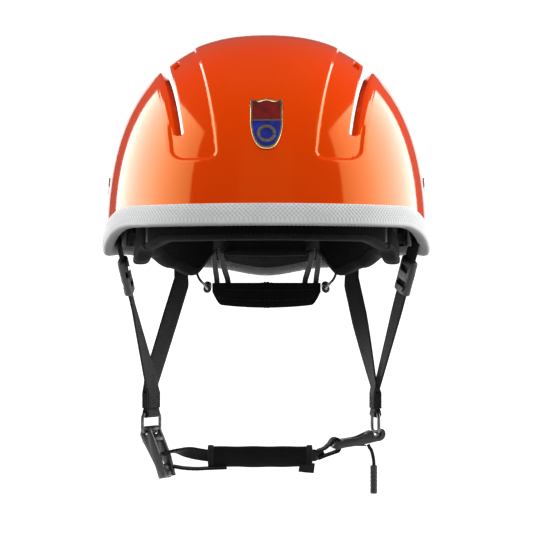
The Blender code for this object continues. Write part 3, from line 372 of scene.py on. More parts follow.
def arc(centre, radius, start, end, steps):
    """Points of an arc in a plane, angles in degrees."""
    turns = np.radians(np.linspace(start, end, steps + 1))
    return [(centre[0] + radius * math.cos(a), centre[1] + radius * math.sin(a)) for a in turns]


def grid_faces(rows, columns, wrap_rows=False, wrap_columns=False, start=0):
    """Quads of a grid of points stored row by row."""
    r = np.arange(rows if wrap_rows else rows - 1)[:, None]
    c = np.arange(columns if wrap_columns else columns - 1)[None, :]
    r2, c2 = (r + 1) % rows, (c + 1) % columns
    corners = (r * columns + c, r * columns + c2, r2 * columns + c2, r2 * columns + c)
    quads = np.stack(np.broadcast_arrays(*corners), -1)
    return (quads.reshape(-1, 4) + start).tolist()


def piece(name, points, faces, look, body, replaces=(), uv=None, normals=None, sharp=None):
    """A finished piece from points in millimetres, riding on a body."""
    mesh = bpy.data.meshes.new(name)
    mesh.from_pydata((np.asarray(points, float) * MM).tolist(), [], faces)
    mesh.materials.append(LOOKS[look])
    if uv is not None:
        layer = mesh.uv_layers.new(name="weave")
        loops = np.empty(len(mesh.loops), np.int32)
        mesh.loops.foreach_get("vertex_index", loops)
        layer.data.foreach_set("uv", np.asarray(uv, np.float32)[loops].ravel())
    mesh.shade_smooth()
    if sharp:
        mesh.set_sharp_from_angle(angle=math.radians(sharp))
    if normals is not None:
        mesh.normals_split_custom_set_from_vertices(np.asarray(normals, float).tolist())
    return finished(bpy.data.objects.new(name, mesh), body, replaces)


def finished(obj, body, replaces=()):
    """Links an object made in place, and ties it to its body and CAD nodes."""
    if not obj.users_collection:
        bpy.context.scene.collection.objects.link(obj)
    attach(obj, body)
    if replaces:
        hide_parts(*replaces)
    return obj


def outward(points, faces):
    """The faces, turned over if their volume says that they point in."""
    p = np.asarray(points, float)
    p = p - p.mean(0)
    volume = sum(np.dot(p[f[0]], np.cross(p[f[i]], p[f[i + 1]])) for f in faces for i in range(1, len(f) - 1))
    return faces if volume > 0 else [f[::-1] for f in faces]


def tube(name, rings, look, body, replaces=(), uv=None, sharp=None):
    """A piece over rings of points, each a closed section, with a fan of faces over both ends."""
    rings = np.asarray(rings, float)
    rows, columns = rings.shape[:2]
    points = np.vstack([rings.reshape(-1, 3), rings[0].mean(0), rings[-1].mean(0)])
    if uv is not None:
        uv = np.vstack([uv, np.zeros((2, 2))])
    faces = grid_faces(rows, columns, wrap_columns=True)
    middle, top = rows * columns, (rows - 1) * columns
    for i in range(columns):
        j = (i + 1) % columns
        faces += [[middle, j, i], [middle + 1, top + i, top + j]]
    return piece(name, points, outward(points, faces), look, body, replaces, uv=uv, sharp=sharp)


def lengths(path):
    """The distance along a path at each of its points."""
    return np.concatenate([[0], np.cumsum(np.linalg.norm(np.diff(path, axis=0), axis=1))])


def resample(path, sides, step):
    """A path and its width directions, or the one for all of it, at even steps, and the distance along."""
    path = np.asarray(path, float)
    sides = np.broadcast_to(np.asarray(sides, float), path.shape)
    run = lengths(path)
    at = np.linspace(0, run[-1], max(4, int(run[-1] / step) + 1))
    fine = np.stack([np.interp(at, run, path[:, k]) for k in range(3)], -1)
    turned = np.stack([np.interp(at, run, sides[:, k]) for k in range(3)], -1)
    return fine, unit(turned), at


def axes_along(path, sides):
    """Unit directions along the path, across it and out of its face, at each point."""
    along = unit(np.gradient(path, axis=0))
    across = unit(sides - along * (along * sides).sum(-1, keepdims=True))
    return along, across, np.cross(along, across)


def web_section(width, thick):
    """A flat strap's outline, (across, out) with rounded edges, first the front face and then the back."""
    inner = width / 2 - thick * 0.45
    top = [(x, thick / 2) for x in np.linspace(inner, -inner, 11)]
    left = arc((-inner, 0), thick / 2, 120, 240, 3)
    low = [(-x, -y) for x, y in top]
    right = arc((inner, 0), thick / 2, -60, 60, 3)
    return np.array(top + left + low + right)


def strap(name, path, sides, body, replaces=(), width=WEB_WIDTH, thick=WEB_THICK, look="webbing", rib=1.7,
          relief=0.1, step=0.42):
    """Flat webbing along a path, its ribs and yarns raised in the mesh."""
    path, sides, run = resample(path, sides, step)
    _, across, face = axes_along(path, sides)
    section = web_section(width, thick)
    yarn = np.cos(np.pi * section[:, 0] / (width / 7))[None, :]
    height = relief * np.sign(section[:, 1])[None, :] * np.cos(2 * np.pi * run / rib)[:, None] * yarn
    flat = (np.abs(section[:, 1]) > thick * 0.49)[None, :]
    rings = (
        path[:, None, :]
        + across[:, None, :] * section[None, :, :1]
        + face[:, None, :] * (section[None, :, 1:] + (height * flat)[:, :, None])
    )
    uv = np.stack(np.broadcast_arrays(run[:, None], section[None, :, 0]), -1).reshape(-1, 2)
    return tube(name, rings, look, body, replaces, uv)


def round_bar(name, path, radius, look, body, replaces=(), closed=False, around=14, relief=None):
    """A round wire, rod or cord along a path; relief gives extra radius from distance and angle."""
    path = np.asarray(path, float)
    along = unit(np.roll(path, -1, 0) - np.roll(path, 1, 0)) if closed else unit(np.gradient(path, axis=0))
    guide = np.array([0.2, 0.1, 1.0]) if abs(along[0][2]) < 0.8 else np.array([1.0, 0.1, 0.0])
    first = []
    for direction in along:
        guide = unit(guide - direction * np.dot(guide, direction))
        first.append(guide)
    first = np.array(first)
    second = np.cross(along, first)
    turns = 2 * np.pi * np.arange(around) / around
    run = lengths(path)
    reach = np.broadcast_to(np.asarray(radius, float).reshape(-1, 1), (len(path), around))
    if relief:
        reach = reach + relief(run[:, None], turns[None, :])
    rings = path[:, None] + reach[:, :, None] * (
        first[:, None] * np.cos(turns)[None, :, None] + second[:, None] * np.sin(turns)[None, :, None]
    )
    uv = np.stack(np.broadcast_arrays(run[:, None], turns[None, :] * 2), -1).reshape(-1, 2)
    if not closed:
        return tube(name, rings, look, body, replaces, uv)
    points = rings.reshape(-1, 3)
    faces = outward(points, grid_faces(len(path), around, True, True))
    return piece(name, points, faces, look, body, replaces, uv=uv)


def turned(name, profile, place, axis, look, body, slot, replaces=(), steps=48):
    """A turned piece from a profile of (radius, height) about an axis through a place."""
    profile = np.array(profile, float)
    out = unit(np.array(axis, float))
    first = unit(np.cross(out, (0.3, 0.2, 0.9) if abs(out[2]) < 0.8 else (1, 0, 0)))
    second = np.cross(out, first)
    turns = 2 * np.pi * np.arange(steps) / steps
    ring = first[None] * np.cos(turns)[:, None] + second[None] * np.sin(turns)[:, None]
    rings = np.asarray(place) + profile[:, None, :1] * ring[None] + profile[:, None, 1:] * out[None, None]
    return tube(name, rings, look, body, replaces, sharp=40)


def stitches(name, runs, body, length=2.0, gap=0.9, radius=0.24):
    """Threads along runs of (points, outward directions), each stitch a small capsule sunk at its ends."""
    turns = 2 * np.pi * np.arange(6) / 6
    shape = [(-0.5, 0.35, -0.7), (-0.35, 0.9, 0.1), (0.0, 1.0, 0.5), (0.35, 0.9, 0.1), (0.5, 0.35, -0.7)]
    points, faces = [], []
    for path, normals in runs:
        path, normals, run = resample(path, normals, length + gap)
        for a, b, out in zip(path, path[1:], normals):
            along = unit(b - a)
            across = np.cross(along, out)
            start = len(points)
            for share, width, lift in shape:
                centre = (a + b) / 2 + along * share * length + out * lift * radius
                points += [centre + radius * width * (across * math.cos(t) + out * math.sin(t))
                           for t in turns]
            faces += grid_faces(len(shape), 6, wrap_columns=True, start=start)
            faces += [[start + i for i in range(5, -1, -1)], [start + 24 + i for i in range(6)]]
    uv = np.zeros((len(points), 2))
    return piece(name, points, faces, "thread", body, uv=uv)


def object_of(name, bm):
    """A bare object in the scene for a bmesh in metres."""
    bmesh.ops.recalc_face_normals(bm, faces=bm.faces)
    mesh = bpy.data.meshes.new(name)
    bm.to_mesh(mesh)
    bm.free()
    obj = bpy.data.objects.new(name, mesh)
    bpy.context.scene.collection.objects.link(obj)
    return obj


def prism(name, outline, depth, axes, middle=0.0):
    """An outline in a frame's XY in millimetres, given a depth along its Z."""
    bm = bmesh.new()
    base = [bm.verts.new((x * MM, y * MM, (middle - depth / 2) * MM)) for x, y in outline]
    face = bm.faces.new(base)
    top = bmesh.ops.extrude_face_region(bm, geom=[face])["geom"]
    raised = [v for v in top if isinstance(v, bmesh.types.BMVert)]
    bmesh.ops.translate(bm, vec=(0, 0, depth * MM), verts=raised)
    obj = object_of(name, bm)
    obj.matrix_world = axes
    return obj


def block(name, size, axes, centre=(0, 0, 0)):
    """A block of that size in a frame."""
    bm = bmesh.new()
    bmesh.ops.create_cube(bm, size=1)
    bmesh.ops.scale(bm, vec=Vector(size) * MM, verts=bm.verts)
    bmesh.ops.translate(bm, vec=Vector(centre) * MM, verts=bm.verts)
    obj = object_of(name, bm)
    obj.matrix_world = axes
    return obj


def rounded(obj, width, segments=3, angle=30):
    """Rounds an object's sharp edges with a bevel; width in millimetres."""
    edge = obj.modifiers.new("round", "BEVEL")
    edge.width, edge.segments, edge.limit_method = width * MM, segments, "ANGLE"
    edge.angle_limit = math.radians(angle)
    edge.harden_normals = True
    return obj


def carve(obj, tool, operation="DIFFERENCE"):
    """Takes a tool's shape out of an object, or keeps only what is inside it."""
    made = obj.modifiers.new("carve", "BOOLEAN")
    made.object, made.operation, made.solver = tool, operation, "EXACT"
    tool.hide_render = True
    return obj


def cut(obj, cutters):
    for cutter in cutters:
        carve(obj, cutter)
    return obj


def settled(name, parts, look, body, replaces=(), cutters=()):
    """The parts with their modifiers applied, as one piece in the row frame; cutters go."""
    bpy.context.view_layer.update()
    graph = bpy.context.evaluated_depsgraph_get()
    bm = bmesh.new()
    for part in parts:
        mesh = bpy.data.meshes.new_from_object(part.evaluated_get(graph))
        mesh.transform(part.matrix_world)
        bm.from_mesh(mesh)
        bpy.data.meshes.remove(mesh)
    mesh = bpy.data.meshes.new(name)
    bm.to_mesh(mesh)
    bm.free()
    for old in (*parts, *cutters):
        bpy.data.objects.remove(old)
    mesh.materials.clear()
    mesh.materials.append(LOOKS[look])
    mesh.polygons.foreach_set("material_index", [0] * len(mesh.polygons))
    mesh.shade_smooth()
    mesh.set_sharp_from_angle(angle=math.radians(35))
    return finished(bpy.data.objects.new(name, mesh), body, replaces)


def frame_of(place, x_axis, z_axis):
    """A matrix at a place in millimetres, with local X and Z along the directions."""
    z = Vector(z_axis).normalized()
    y = z.cross(Vector(x_axis)).normalized()
    return Matrix.Translation(Vector(place) * MM) @ Matrix((y.cross(z), y, z)).transposed().to_4x4()


# ---------------------------------------------------------------- the dome


def round_the_head(stations, turn):
    """Values between stations given for plan angles on one side, for plan angles on either."""
    return between(stations, np.abs((np.asarray(turn, float) + 180) % 360 - 180))


def dome_place(turn, height):
    """Places on the dome at plan angles in degrees from the brow and heights."""
    angle = np.radians(turn)
    height = np.asarray(height, float)
    share = np.clip(1 - np.abs(height / HEIGHT) ** PROFILE_POWER, 0, None) ** (1 / PROFILE_POWER)
    across, ahead = np.abs(np.sin(angle) / HALF_WIDTH), np.abs(np.cos(angle) / HALF_LENGTH)
    reach = share / (across**PLAN_POWER + ahead**PLAN_POWER) ** (1 / PLAN_POWER)
    y = -reach * np.cos(angle)
    x = reach * np.sin(angle) * (1 + BROW_TAPER * y / HALF_LENGTH)
    return np.stack(np.broadcast_arrays(x, y, height), -1)


def dome_level(p):
    """One on the dome, less inside it."""
    x = p[..., 0] / (1 + BROW_TAPER * p[..., 1] / HALF_LENGTH)
    plan = np.abs(x / HALF_WIDTH) ** PLAN_POWER + np.abs(p[..., 1] / HALF_LENGTH) ** PLAN_POWER
    return plan ** (PROFILE_POWER / PLAN_POWER) + np.abs(p[..., 2] / HEIGHT) ** PROFILE_POWER


def dome_normal(p):
    step = 0.01 * np.eye(3)
    return unit(np.stack([dome_level(p + s) - dome_level(p - s) for s in step], -1))


def onto_dome(p):
    """Points moved on to the dome, straight out from the origin before the brow's taper."""
    x = p[..., 0] / (1 + BROW_TAPER * p[..., 1] / HALF_LENGTH)
    scale = np.maximum(dome_level(p), 1e-9) ** (-1 / PROFILE_POWER)
    y, z = p[..., 1] * scale, p[..., 2] * scale
    return np.stack([x * scale * (1 + BROW_TAPER * y / HALF_LENGTH), y, z], -1)


def vent_line(p):
    """Which of the lines that the slots and panels follow a place lies on."""
    sweep = np.where(p[..., 1] < 0, SWEEP_FRONT, SWEEP_REAR)
    return np.abs(p[..., 0]) + sweep * (p[..., 1] / SWEEP_LENGTH) ** 2


def rounded_box(u, v, half_u, half_v, radius):
    """Signed distance to a rounded rectangle, less than nought inside it."""
    qu, qv = np.abs(u) - half_u + radius, np.abs(v) - half_v + radius
    return np.hypot(np.maximum(qu, 0), np.maximum(qv, 0)) + np.minimum(np.maximum(qu, qv), 0) - radius


def slot_distance(p):
    """Distance outside the long vent slots, along the surface."""
    half = SLOT_WIDTH / 2
    return rounded_box(vent_line(p) - SLOT_LINE, 1.2 * (400 + SLOT_LOW - p[..., 2]), half, 480, half * 0.95)


def window_distance(p):
    """Distance outside the small vent windows."""
    across, along = vent_line(p) - WINDOW_LINE, p[..., 1] - WINDOW_Y
    return rounded_box(across, along, WINDOW_WIDTH / 2, WINDOW_LENGTH / 2, 0.6)


def panel_distance(p):
    """Distance outside the sunk panels that the slots run in."""
    middle, half = (PANEL_IN + PANEL_OUT) / 2, (PANEL_OUT - PANEL_IN) / 2
    return rounded_box(vent_line(p) - middle, 1.1 * (400 + PANEL_LOW - p[..., 2]), half, 440, PANEL_ROUND)


def hole_distance(p):
    return np.minimum(slot_distance(p), window_distance(p))


def relief(p):
    """How far the outside skin stands off the dome: panels sunk, slot lips rolled, edges eased."""
    sunk = ease(-panel_distance(p) / PANEL_WALL)
    beside = vent_line(p) - SLOT_LINE - SLOT_WIDTH / 2
    room = PANEL_OUT - SLOT_LINE - SLOT_WIDTH / 2
    lip = np.sin(np.pi * np.clip(beside / room, 0, 1)) * ease((p[..., 2] - SLOT_LOW) / 12)
    eased = np.clip(1 - hole_distance(p) / 0.8, 0, 1) ** 2
    groove = np.exp(-((panel_distance(p) / 0.55) ** 2))
    return -PANEL_DEPTH * sunk + 0.9 * lip * sunk - 0.5 * eased - 0.12 * groove


def skin(p, inset=0.0, raised=True):
    """Points near the dome moved on to a skin of it, with its relief."""
    p = onto_dome(p)
    off = (relief(p) if raised else 0.0) - inset
    return p + dome_normal(p) * np.asarray(off)[..., None]


def skin_normals(p, inset, raised, step=0.12):
    """Normals of the skin itself, relief included."""
    out = dome_normal(onto_dome(p))
    first = unit(np.cross(out, np.where(np.abs(out[:, 2:]) < 0.9, [[0, 0, 1.0]], [[0, 1.0, 0]])))
    second = np.cross(out, first)
    du = skin(p + first * step, inset, raised) - skin(p - first * step, inset, raised)
    dv = skin(p + second * step, inset, raised) - skin(p - second * step, inset, raised)
    return unit(np.cross(du, dv))


def dome_mesh(columns, rows, cuts, above_rim):
    """Points and faces on the dome, finer near the vents and panels."""
    turns = np.linspace(0, 360, columns, endpoint=False)
    low = np.arcsin((round_the_head(RIM, turns) + above_rim) / HEIGHT)
    rise = np.linspace(0, 0.985, rows)[:, None]
    heights = HEIGHT * np.sin(low + (np.pi / 2 - low) * rise)
    points = dome_place(turns[None, :], heights).reshape(-1, 3)
    points = np.vstack([points, [[0, 0, HEIGHT]]])
    faces = grid_faces(rows, columns, wrap_columns=True)
    top = (rows - 1) * columns
    faces += [[top + i, top + (i + 1) % columns, len(points) - 1] for i in range(columns)]
    bm = bmesh.new()
    mesh = bpy.data.meshes.new("dome")
    mesh.from_pydata(points.tolist(), [], faces)
    bm.from_mesh(mesh)
    bm.edges.ensure_lookup_table()
    middles = onto_dome(np.array([(e.verts[0].co + e.verts[1].co) / 2 for e in bm.edges]))
    near = np.minimum(np.abs(panel_distance(middles)), np.abs(hole_distance(middles))) < 3.4
    edges = [bm.edges[i] for i in np.nonzero(near)[0]]
    bmesh.ops.subdivide_edges(bm, edges=edges, cuts=cuts, use_grid_fill=True)
    bm.to_mesh(mesh)
    bm.free()
    points = np.empty(len(mesh.vertices) * 3)
    mesh.vertices.foreach_get("co", points)
    points = onto_dome(points.reshape(-1, 3))
    faces = [list(f.vertices) for f in mesh.polygons]
    bpy.data.meshes.remove(mesh)
    return points, faces


def slide(p, distance, amount):
    """Points slid along the dome until a distance field changes by the amount."""
    step = 0.05 * np.eye(3)
    slope = np.stack([distance(p + s) - distance(p - s) for s in step], -1) / 0.1
    out = dome_normal(p)
    slope = slope - out * (slope * out).sum(-1, keepdims=True)
    size = np.maximum((slope**2).sum(-1, keepdims=True), 0.2)
    return onto_dome(p + slope / size * amount[:, None]), unit(slope)


def opened(points, faces, distance):
    """Takes the faces inside the vents away and brings the edges left exactly on to the outline."""
    value = distance(points)
    kept = [f for f in faces if np.mean(value[f]) > 0]
    sides = [(a, b) for f in kept for a, b in zip(f, f[1:] + f[:1])]
    uses = Counter(frozenset(side) for side in sides)
    border = [side for side in sides if uses[frozenset(side)] == 1 and value[list(side)].max() < 3]
    edge = np.unique(border)
    for _ in range(3):
        points[edge] = slide(points[edge], distance, -distance(points[edge]))[0]
    used = np.unique(np.concatenate([np.array(f) for f in kept]))
    index = np.full(len(points), -1)
    index[used] = np.arange(len(used))
    return points[used], [index[f].tolist() for f in kept], index[np.array(border)].tolist()


def flange_rows(base, out, inwards, rows=5):
    """Rows of a slot's turned-in wall, from its outline down through the shell; the outer wall leans in."""
    outer_side = np.clip(-inwards[:, 0] * np.sign(base[:, 0]), 0, 1)
    shift = np.outer(-np.sign(base[:, 0]) * outer_side * FLANGE_LEAN, (1, 0, 0))
    shares = np.linspace(0, 1, rows)[1:]
    return [base - out * FLANGE_DEPTH * s + shift * ease(s * 0.8 + 0.1) * s for s in shares]


def shell_skin():
    """The orange shell: sunk panels, slots with turned-in walls, small windows."""
    points, faces = dome_mesh(SHELL_COLUMNS, SHELL_ROWS, SHELL_CUTS, 0.0)
    points, faces, border = opened(points, faces, hole_distance)
    surface = skin(points)
    normals = skin_normals(points, 0.0, True)
    ids = np.array(sorted({i for pair in border for i in pair}))
    _, away = slide(points[ids], hole_distance, np.zeros(len(ids)))
    out = dome_normal(points[ids])
    wall = -away
    rows = [surface[ids], *flange_rows(surface[ids], out, wall)]
    local = {vertex: i for i, vertex in enumerate(ids)}
    start, count = len(surface), len(ids)
    for level in range(len(rows) - 1):
        for a, b in border:
            low, high = start + level * count, start + (level + 1) * count
            faces.append([low + local[b], low + local[a], high + local[a], high + local[b]])
    all_points = np.vstack([surface, *rows])
    all_normals = np.vstack([normals, unit(0.5 * wall + 0.5 * normals[ids]), *[wall] * (len(rows) - 1)])
    return piece("shell_skin", all_points, faces, "orange", "helmet", ("outer_shell",),
                 normals=all_normals)


def liner_skin():
    """The black inner shell, seen from below and through the vents."""
    points, faces = dome_mesh(LINER_COLUMNS, LINER_ROWS, LINER_CUTS, LINER_RISE)
    points, faces, _ = opened(points, faces, lambda p: hole_distance(p) - LINER_HOLE)
    inside = skin(points, LINER_INSET + LINER_WALL, False)
    normals = -skin_normals(points, LINER_INSET + LINER_WALL, False)
    return piece("liner_skin", inside, [f[::-1] for f in faces], "liner", "helmet",
                 ("inner_liner",), normals=normals)


def braided_edge():
    """The trim: a U section round the rim, its outside a raised braid."""
    turns = np.linspace(0, 360, TRIM_COLUMNS, endpoint=False)
    rim = round_the_head(RIM, turns)
    foot, above = dome_place(turns, rim), dome_place(turns, rim + 1.0)
    out, up = dome_normal(foot), unit(above - foot)
    inner = SHELL_WALL + 0.3
    outside = [(0.25 + 2.3 * math.sin(t) ** 0.7, TRIM_UP * (0.03 + 0.97 * math.cos(t) ** 0.9))
               for t in np.linspace(0.06, 1.5, 26)]
    middle, half = (TRIM_OUTER - inner - TRIM_INNER) / 2, (TRIM_OUTER + inner + TRIM_INNER) / 2
    bottom = [(middle + half * (x + 0.025), TRIM_BELOW * y - 0.1) for x, y in arc((0, 0), 1.0, 0, -180, 10)]
    inside = [(-inner - TRIM_INNER, v) for v in np.linspace(0.6, TRIM_UP_INSIDE - 0.6, 8)]
    rest = [(-inner - TRIM_INNER + 0.7, TRIM_UP_INSIDE), (-inner, TRIM_UP_INSIDE - 0.3),
            (-inner, -0.2), (0.1, -0.2)]
    section = np.array(outside + bottom[1:] + inside + rest)
    girth, run = lengths(section), lengths(foot)
    around = run[-1] + np.linalg.norm(foot[-1] - foot[0])
    a = run[:, None] * round(around / BRAID_PITCH) / around
    b = girth[None, :] / BRAID_PITCH
    first, second = 0.5 + 0.5 * np.cos(2 * np.pi * (a + b)), 0.5 + 0.5 * np.cos(2 * np.pi * (a - b))
    braid = np.maximum(first, second) ** 1.5 * 0.8 + 0.2 * first * second
    lip, last = girth[len(outside)], girth[len(outside) + len(bottom) + len(inside) - 2]
    fade = ease(girth / 0.8) * ease((last - girth) / 1.5)
    hem = 1 - np.exp(-(((girth - lip) / 0.9) ** 2))
    tangent = np.gradient(section, axis=0)
    away = unit(np.stack([-tangent[:, 1], tangent[:, 0]], -1))
    raised = section[None] + away[None] * (BRAID_HEIGHT * (braid - 0.5) * fade * hem)[:, :, None]
    points = foot[:, None] + out[:, None] * raised[:, :, :1] + up[:, None] * raised[:, :, 1:]
    points, faces = points.reshape(-1, 3), grid_faces(TRIM_COLUMNS, len(section), True, True)
    a, b, c = points[faces[3][:3]]
    if np.dot(np.cross(b - a, c - a), out[0]) < 0:
        faces = [f[::-1] for f in faces]
    return piece("edge_trim_braid", points, faces, "trim", "helmet", ("edge_trim",))


def rivets():
    """Domed rivet heads, the side ones broad."""
    for name, turn, height, head, proud in RIVETS:
        for side, label in SIDES:
            place = dome_place(side * turn, height)
            out = dome_normal(place)
            profile = [(head * math.sin(t), proud + 0.5 + 1.9 * math.cos(t))
                       for t in np.linspace(0.05, 1.5, 14)]
            profile += [(head + 0.05, proud + 0.35), (head, proud), (head * 0.7, proud - 0.1)]
            turned(f"{name}_head_{label}", profile, place, out, "steel", "helmet", "steel",
                   (f"{name}_{label}",))


def shield(width, top, bottom, steps=14):
    """A plain shield's outline."""
    turns = np.linspace(0, math.pi / 2, steps)
    right = [(width * math.cos(t) ** 0.75, bottom * math.sin(t) ** 1.2) for t in turns]
    upper = [(-width, top), (-width * 0.5, top - 0.8), (0, top + 0.6), (width * 0.5, top - 0.8), (width, top)]
    return upper + right + [(-x, y) for x, y in reversed(right[:-1])]


def badge():
    """A plain two-colour shield in a gold rim, set flat at the brow and facing out from the dome."""
    place = dome_place(0.01, BADGE_HEIGHT)
    out = dome_normal(place)
    axes = frame_of(place + out * 0.9, (1, 0, 0), out)
    back = rounded(prism("badge_back", shield(10.6, 17, -19), 1.2, axes, 0.2), 0.45)
    inner = shield(9.3, 15.6, -17.2)
    cut(back, [recess := prism("badge_recess", inner, 1.0, axes, 0.85)])
    divide = block("badge_divide", (20, 1.0, 0.9), axes, (0, 1.5, 0.45))
    band = arc((0, -8.2), 6.2, 0, 350, 32) + arc((0, -8.2), 4.2, 350, 0, 32)
    raised, keepers = zip(*[clipped(part, inner, axes)
                            for part in (divide, prism("badge_ring", band, 1.3, axes, 0.5))])
    settled("badge_rim", [back, *raised], "gold", "helmet", ("badge",), (recess, *keepers))
    for look, low, high in (("red", 1.5, 18), ("blue", -20, 1.5)):
        fill = block(f"badge_fill_{look}", (24, high - low, 0.55), axes, (0, (low + high) / 2, 0.5))
        fill, keeper = clipped(fill, shield(9.25, 15.55, -17.1), axes)
        settled(f"badge_enamel_{look}", [fill], look, "helmet", (), (keeper,))


def clipped(part, outline, axes):
    """The part kept only inside an outline, with the tool that keeps it."""
    keeper = prism(part.name + "_keeper", outline, 6, axes)
    return carve(part, keeper, "INTERSECT"), keeper


# ---------------------------------------------------------------- pads


def band_place(turn, out, height):
    """Places by the headband: plan angle in degrees from the brow, distance outside its cover, height."""
    angle = np.radians(turn)
    length = np.where(np.cos(angle) > 0, BAND_FRONT, BAND_REAR)
    reach = 1 / (
        np.abs(np.sin(angle) / (BAND_HALF_WIDTH + out)) ** BAND_POWER
        + np.abs(np.cos(angle) / (length + out)) ** BAND_POWER
    ) ** (1 / BAND_POWER)
    parts = (reach * np.sin(angle), BAND_Y - reach * np.cos(angle), np.asarray(height, float))
    return np.stack(np.broadcast_arrays(*parts), -1)


def filled(obj, held, swell=PAD_SWELL):
    """Fills a pad: its cover, a little small, swells under pressure except where it is held."""
    rest = np.array([v.co for v in obj.data.vertices])
    group = obj.vertex_groups.new(name="held")
    group.add([int(i) for i in held], 1.0, "REPLACE")
    cloth = obj.modifiers.new("fill", "CLOTH")
    settings = cloth.settings
    settings.quality = 5
    settings.mass = 0.15
    settings.use_pressure = True
    settings.uniform_pressure_force = 4
    settings.tension_stiffness = settings.compression_stiffness = 15
    settings.bending_stiffness = 0.5
    settings.vertex_group_mass = "held"
    settings.effector_weights.gravity = 0
    cloth.point_cache.frame_start, cloth.point_cache.frame_end = 1, 20
    for step in range(1, 21):
        bpy.context.scene.frame_set(step)
    graph = bpy.context.evaluated_depsgraph_get()
    moved = np.array([v.co for v in obj.evaluated_get(graph).data.vertices])
    obj.modifiers.remove(cloth)
    bpy.context.scene.frame_set(1)
    shift = np.nan_to_num(moved - rest)
    size = np.linalg.norm(shift, axis=1, keepdims=True)
    limit = swell * MM
    rest = rest + shift * np.minimum(1, limit * np.tanh(size / limit) / np.maximum(size, 1e-9))
    obj.data.vertices.foreach_set("co", rest.ravel())
    obj.data.update()
    return obj


def subdivided(obj):
    """One level of subdivision, applied."""
    smooth = obj.modifiers.new("smooth", "SUBSURF")
    smooth.levels = smooth.render_levels = 1
    graph = bpy.context.evaluated_depsgraph_get()
    obj.data = bpy.data.meshes.new_from_object(obj.evaluated_get(graph))
    obj.modifiers.clear()
    return obj


def pad_section(low, high):
    """A band pad's outline at one place, (outward, height): cover outside, foam inside."""
    cover = np.minimum(low + 17, high - 1)
    return [
        (-0.4, low + 2.2), (-0.3, low + 4), (-0.2, low + 6.5), (-0.2, low + 9), (-0.3, low + 12),
        (-0.5, cover - 1), (-1.5, cover), (-3.6, cover + 0.3), (-4.0, cover + 2), (-4.2, high - 3),
        (-5.5, high - 0.8), (-8, high - 0.5), (-10.4, high - 1.4), (-PAD_THICK + 0.6, high - 4),
        (-PAD_THICK + 0.4, low + 11), (-PAD_THICK + 0.5, low + 8), (-PAD_THICK + 0.7, low + 5),
        (-PAD_THICK + 1.6, low + 2.6), (-PAD_THICK + 3.2, low + 1.0), (-6.5, low + 0.5), (-4, low + 0.5),
        (-2.2, low + 0.7), (-1.0, low + 1.2),
    ]


def band_pad(name, node, start, end, look="felt"):
    """A pad on the headband with a bound lower edge and a sewn seam."""
    turns = np.linspace(start, end, int(abs(end - start) / 1.4) + 2)
    low, high = round_the_head(BAND_LOW, turns), round_the_head(BAND_HIGH, turns) - 3.0
    section = pad_section(low, high)
    rings = np.stack([band_place(turns, o, z) for o, z in section], 1)
    ends = np.minimum(np.arange(len(turns)), np.arange(len(turns))[::-1])
    shrink = 0.3 * np.clip(1 - ends / 3, 0, 1)[:, None, None] ** 2
    rings = rings + (rings.mean(1, keepdims=True) - rings) * shrink
    obj = tube(name, rings, look, "helmet", (node,))
    held = [r * len(section) + c for r in range(len(turns)) for c in PAD_SECTION_HELD]
    subdivided(filled(obj, held))
    binding(name + "_binding", turns, low)
    along, height, out = turns[1:-1], low[1:-1] + 3.6, outward_of_band(turns[1:-1])
    runs = [(band_place(along, 0.15, height), out), (band_place(along, -PAD_THICK, height + 1.4), -out)]
    stitches(name + "_seam", runs, "helmet", 1.9, 1.0, 0.2)


def outward_of_band(turns):
    """Level directions out of the headband at plan angles."""
    ahead = band_place(turns + 0.5, 0, 0.0) - band_place(turns - 0.5, 0, 0.0)
    return unit(np.stack([ahead[:, 1], -ahead[:, 0], 0 * ahead[:, 0]], -1))


def binding(name, turns, low):
    """The tape folded over a pad's lower edge."""
    outer = [(0.25, 3.2), (0.3, 2.2), (0.1, 1.2), (-0.8, 0.25), (-2.2, -0.15), (-4, -0.25), (-6.5, -0.25),
             (-9.2, 0.15), (-PAD_THICK + 1.0, 1.7), (-PAD_THICK, 3.6), (-PAD_THICK - 0.2, 5.0)]
    inner = [(-PAD_THICK + 0.4, 5.0), (-PAD_THICK + 1.0, 3.7), (-9, 1.4), (-4, 1.0), (-1.2, 1.5), (-0.4, 3.2)]
    section = outer + inner
    wave = 0.05 * np.sin(turns * 5.5)
    rings = np.stack([band_place(turns, o + wave, low + v) for o, v in section], 1)
    subdivided(tube(name, rings, "binding", "helmet"))


def nape_y(x, behind):
    """How far back the cradle's curve is at x, and a distance behind it."""
    return NAPE_Y - NAPE_CURVE * x * x + behind


def nape_rings(near, far, low, high, half_width, steps, corner=6.0, edge=1.6):
    """Rounded sections of a curved plate of the nape cradle, from one end to the other."""
    x = np.linspace(-half_width, half_width, steps)
    end = np.clip((np.abs(x) - (half_width - corner)) / corner, 0, 1)
    bottom = low + (high - low) * 0.45 * end**1.5 + 3.0 * (np.abs(x) / half_width) ** 2
    middle, deep = (near + far) / 2, (far - near) / 2 * (1 - 0.45 * end**3)
    shares = (0.0, 0.25, 0.5, 0.75, 1.0)
    bend = ((-0.75, 0.75), (-0.3, 1.0), (0.3, 1.0), (0.75, 0.75))
    section = [(-1, share, 0) for share in shares] + [(s, 1.0, r) for s, r in bend]
    section += [(1, share, 0) for share in reversed(shares)] + [(s, 0.0, -r) for s, r in reversed(bend)]
    low_z, high_z = bottom + edge, high - edge
    return np.stack([
        np.stack([x, nape_y(x, middle + s * deep), low_z + (high_z - low_z) * share + edge * r], -1)
        for s, share, r in section
    ], 1)


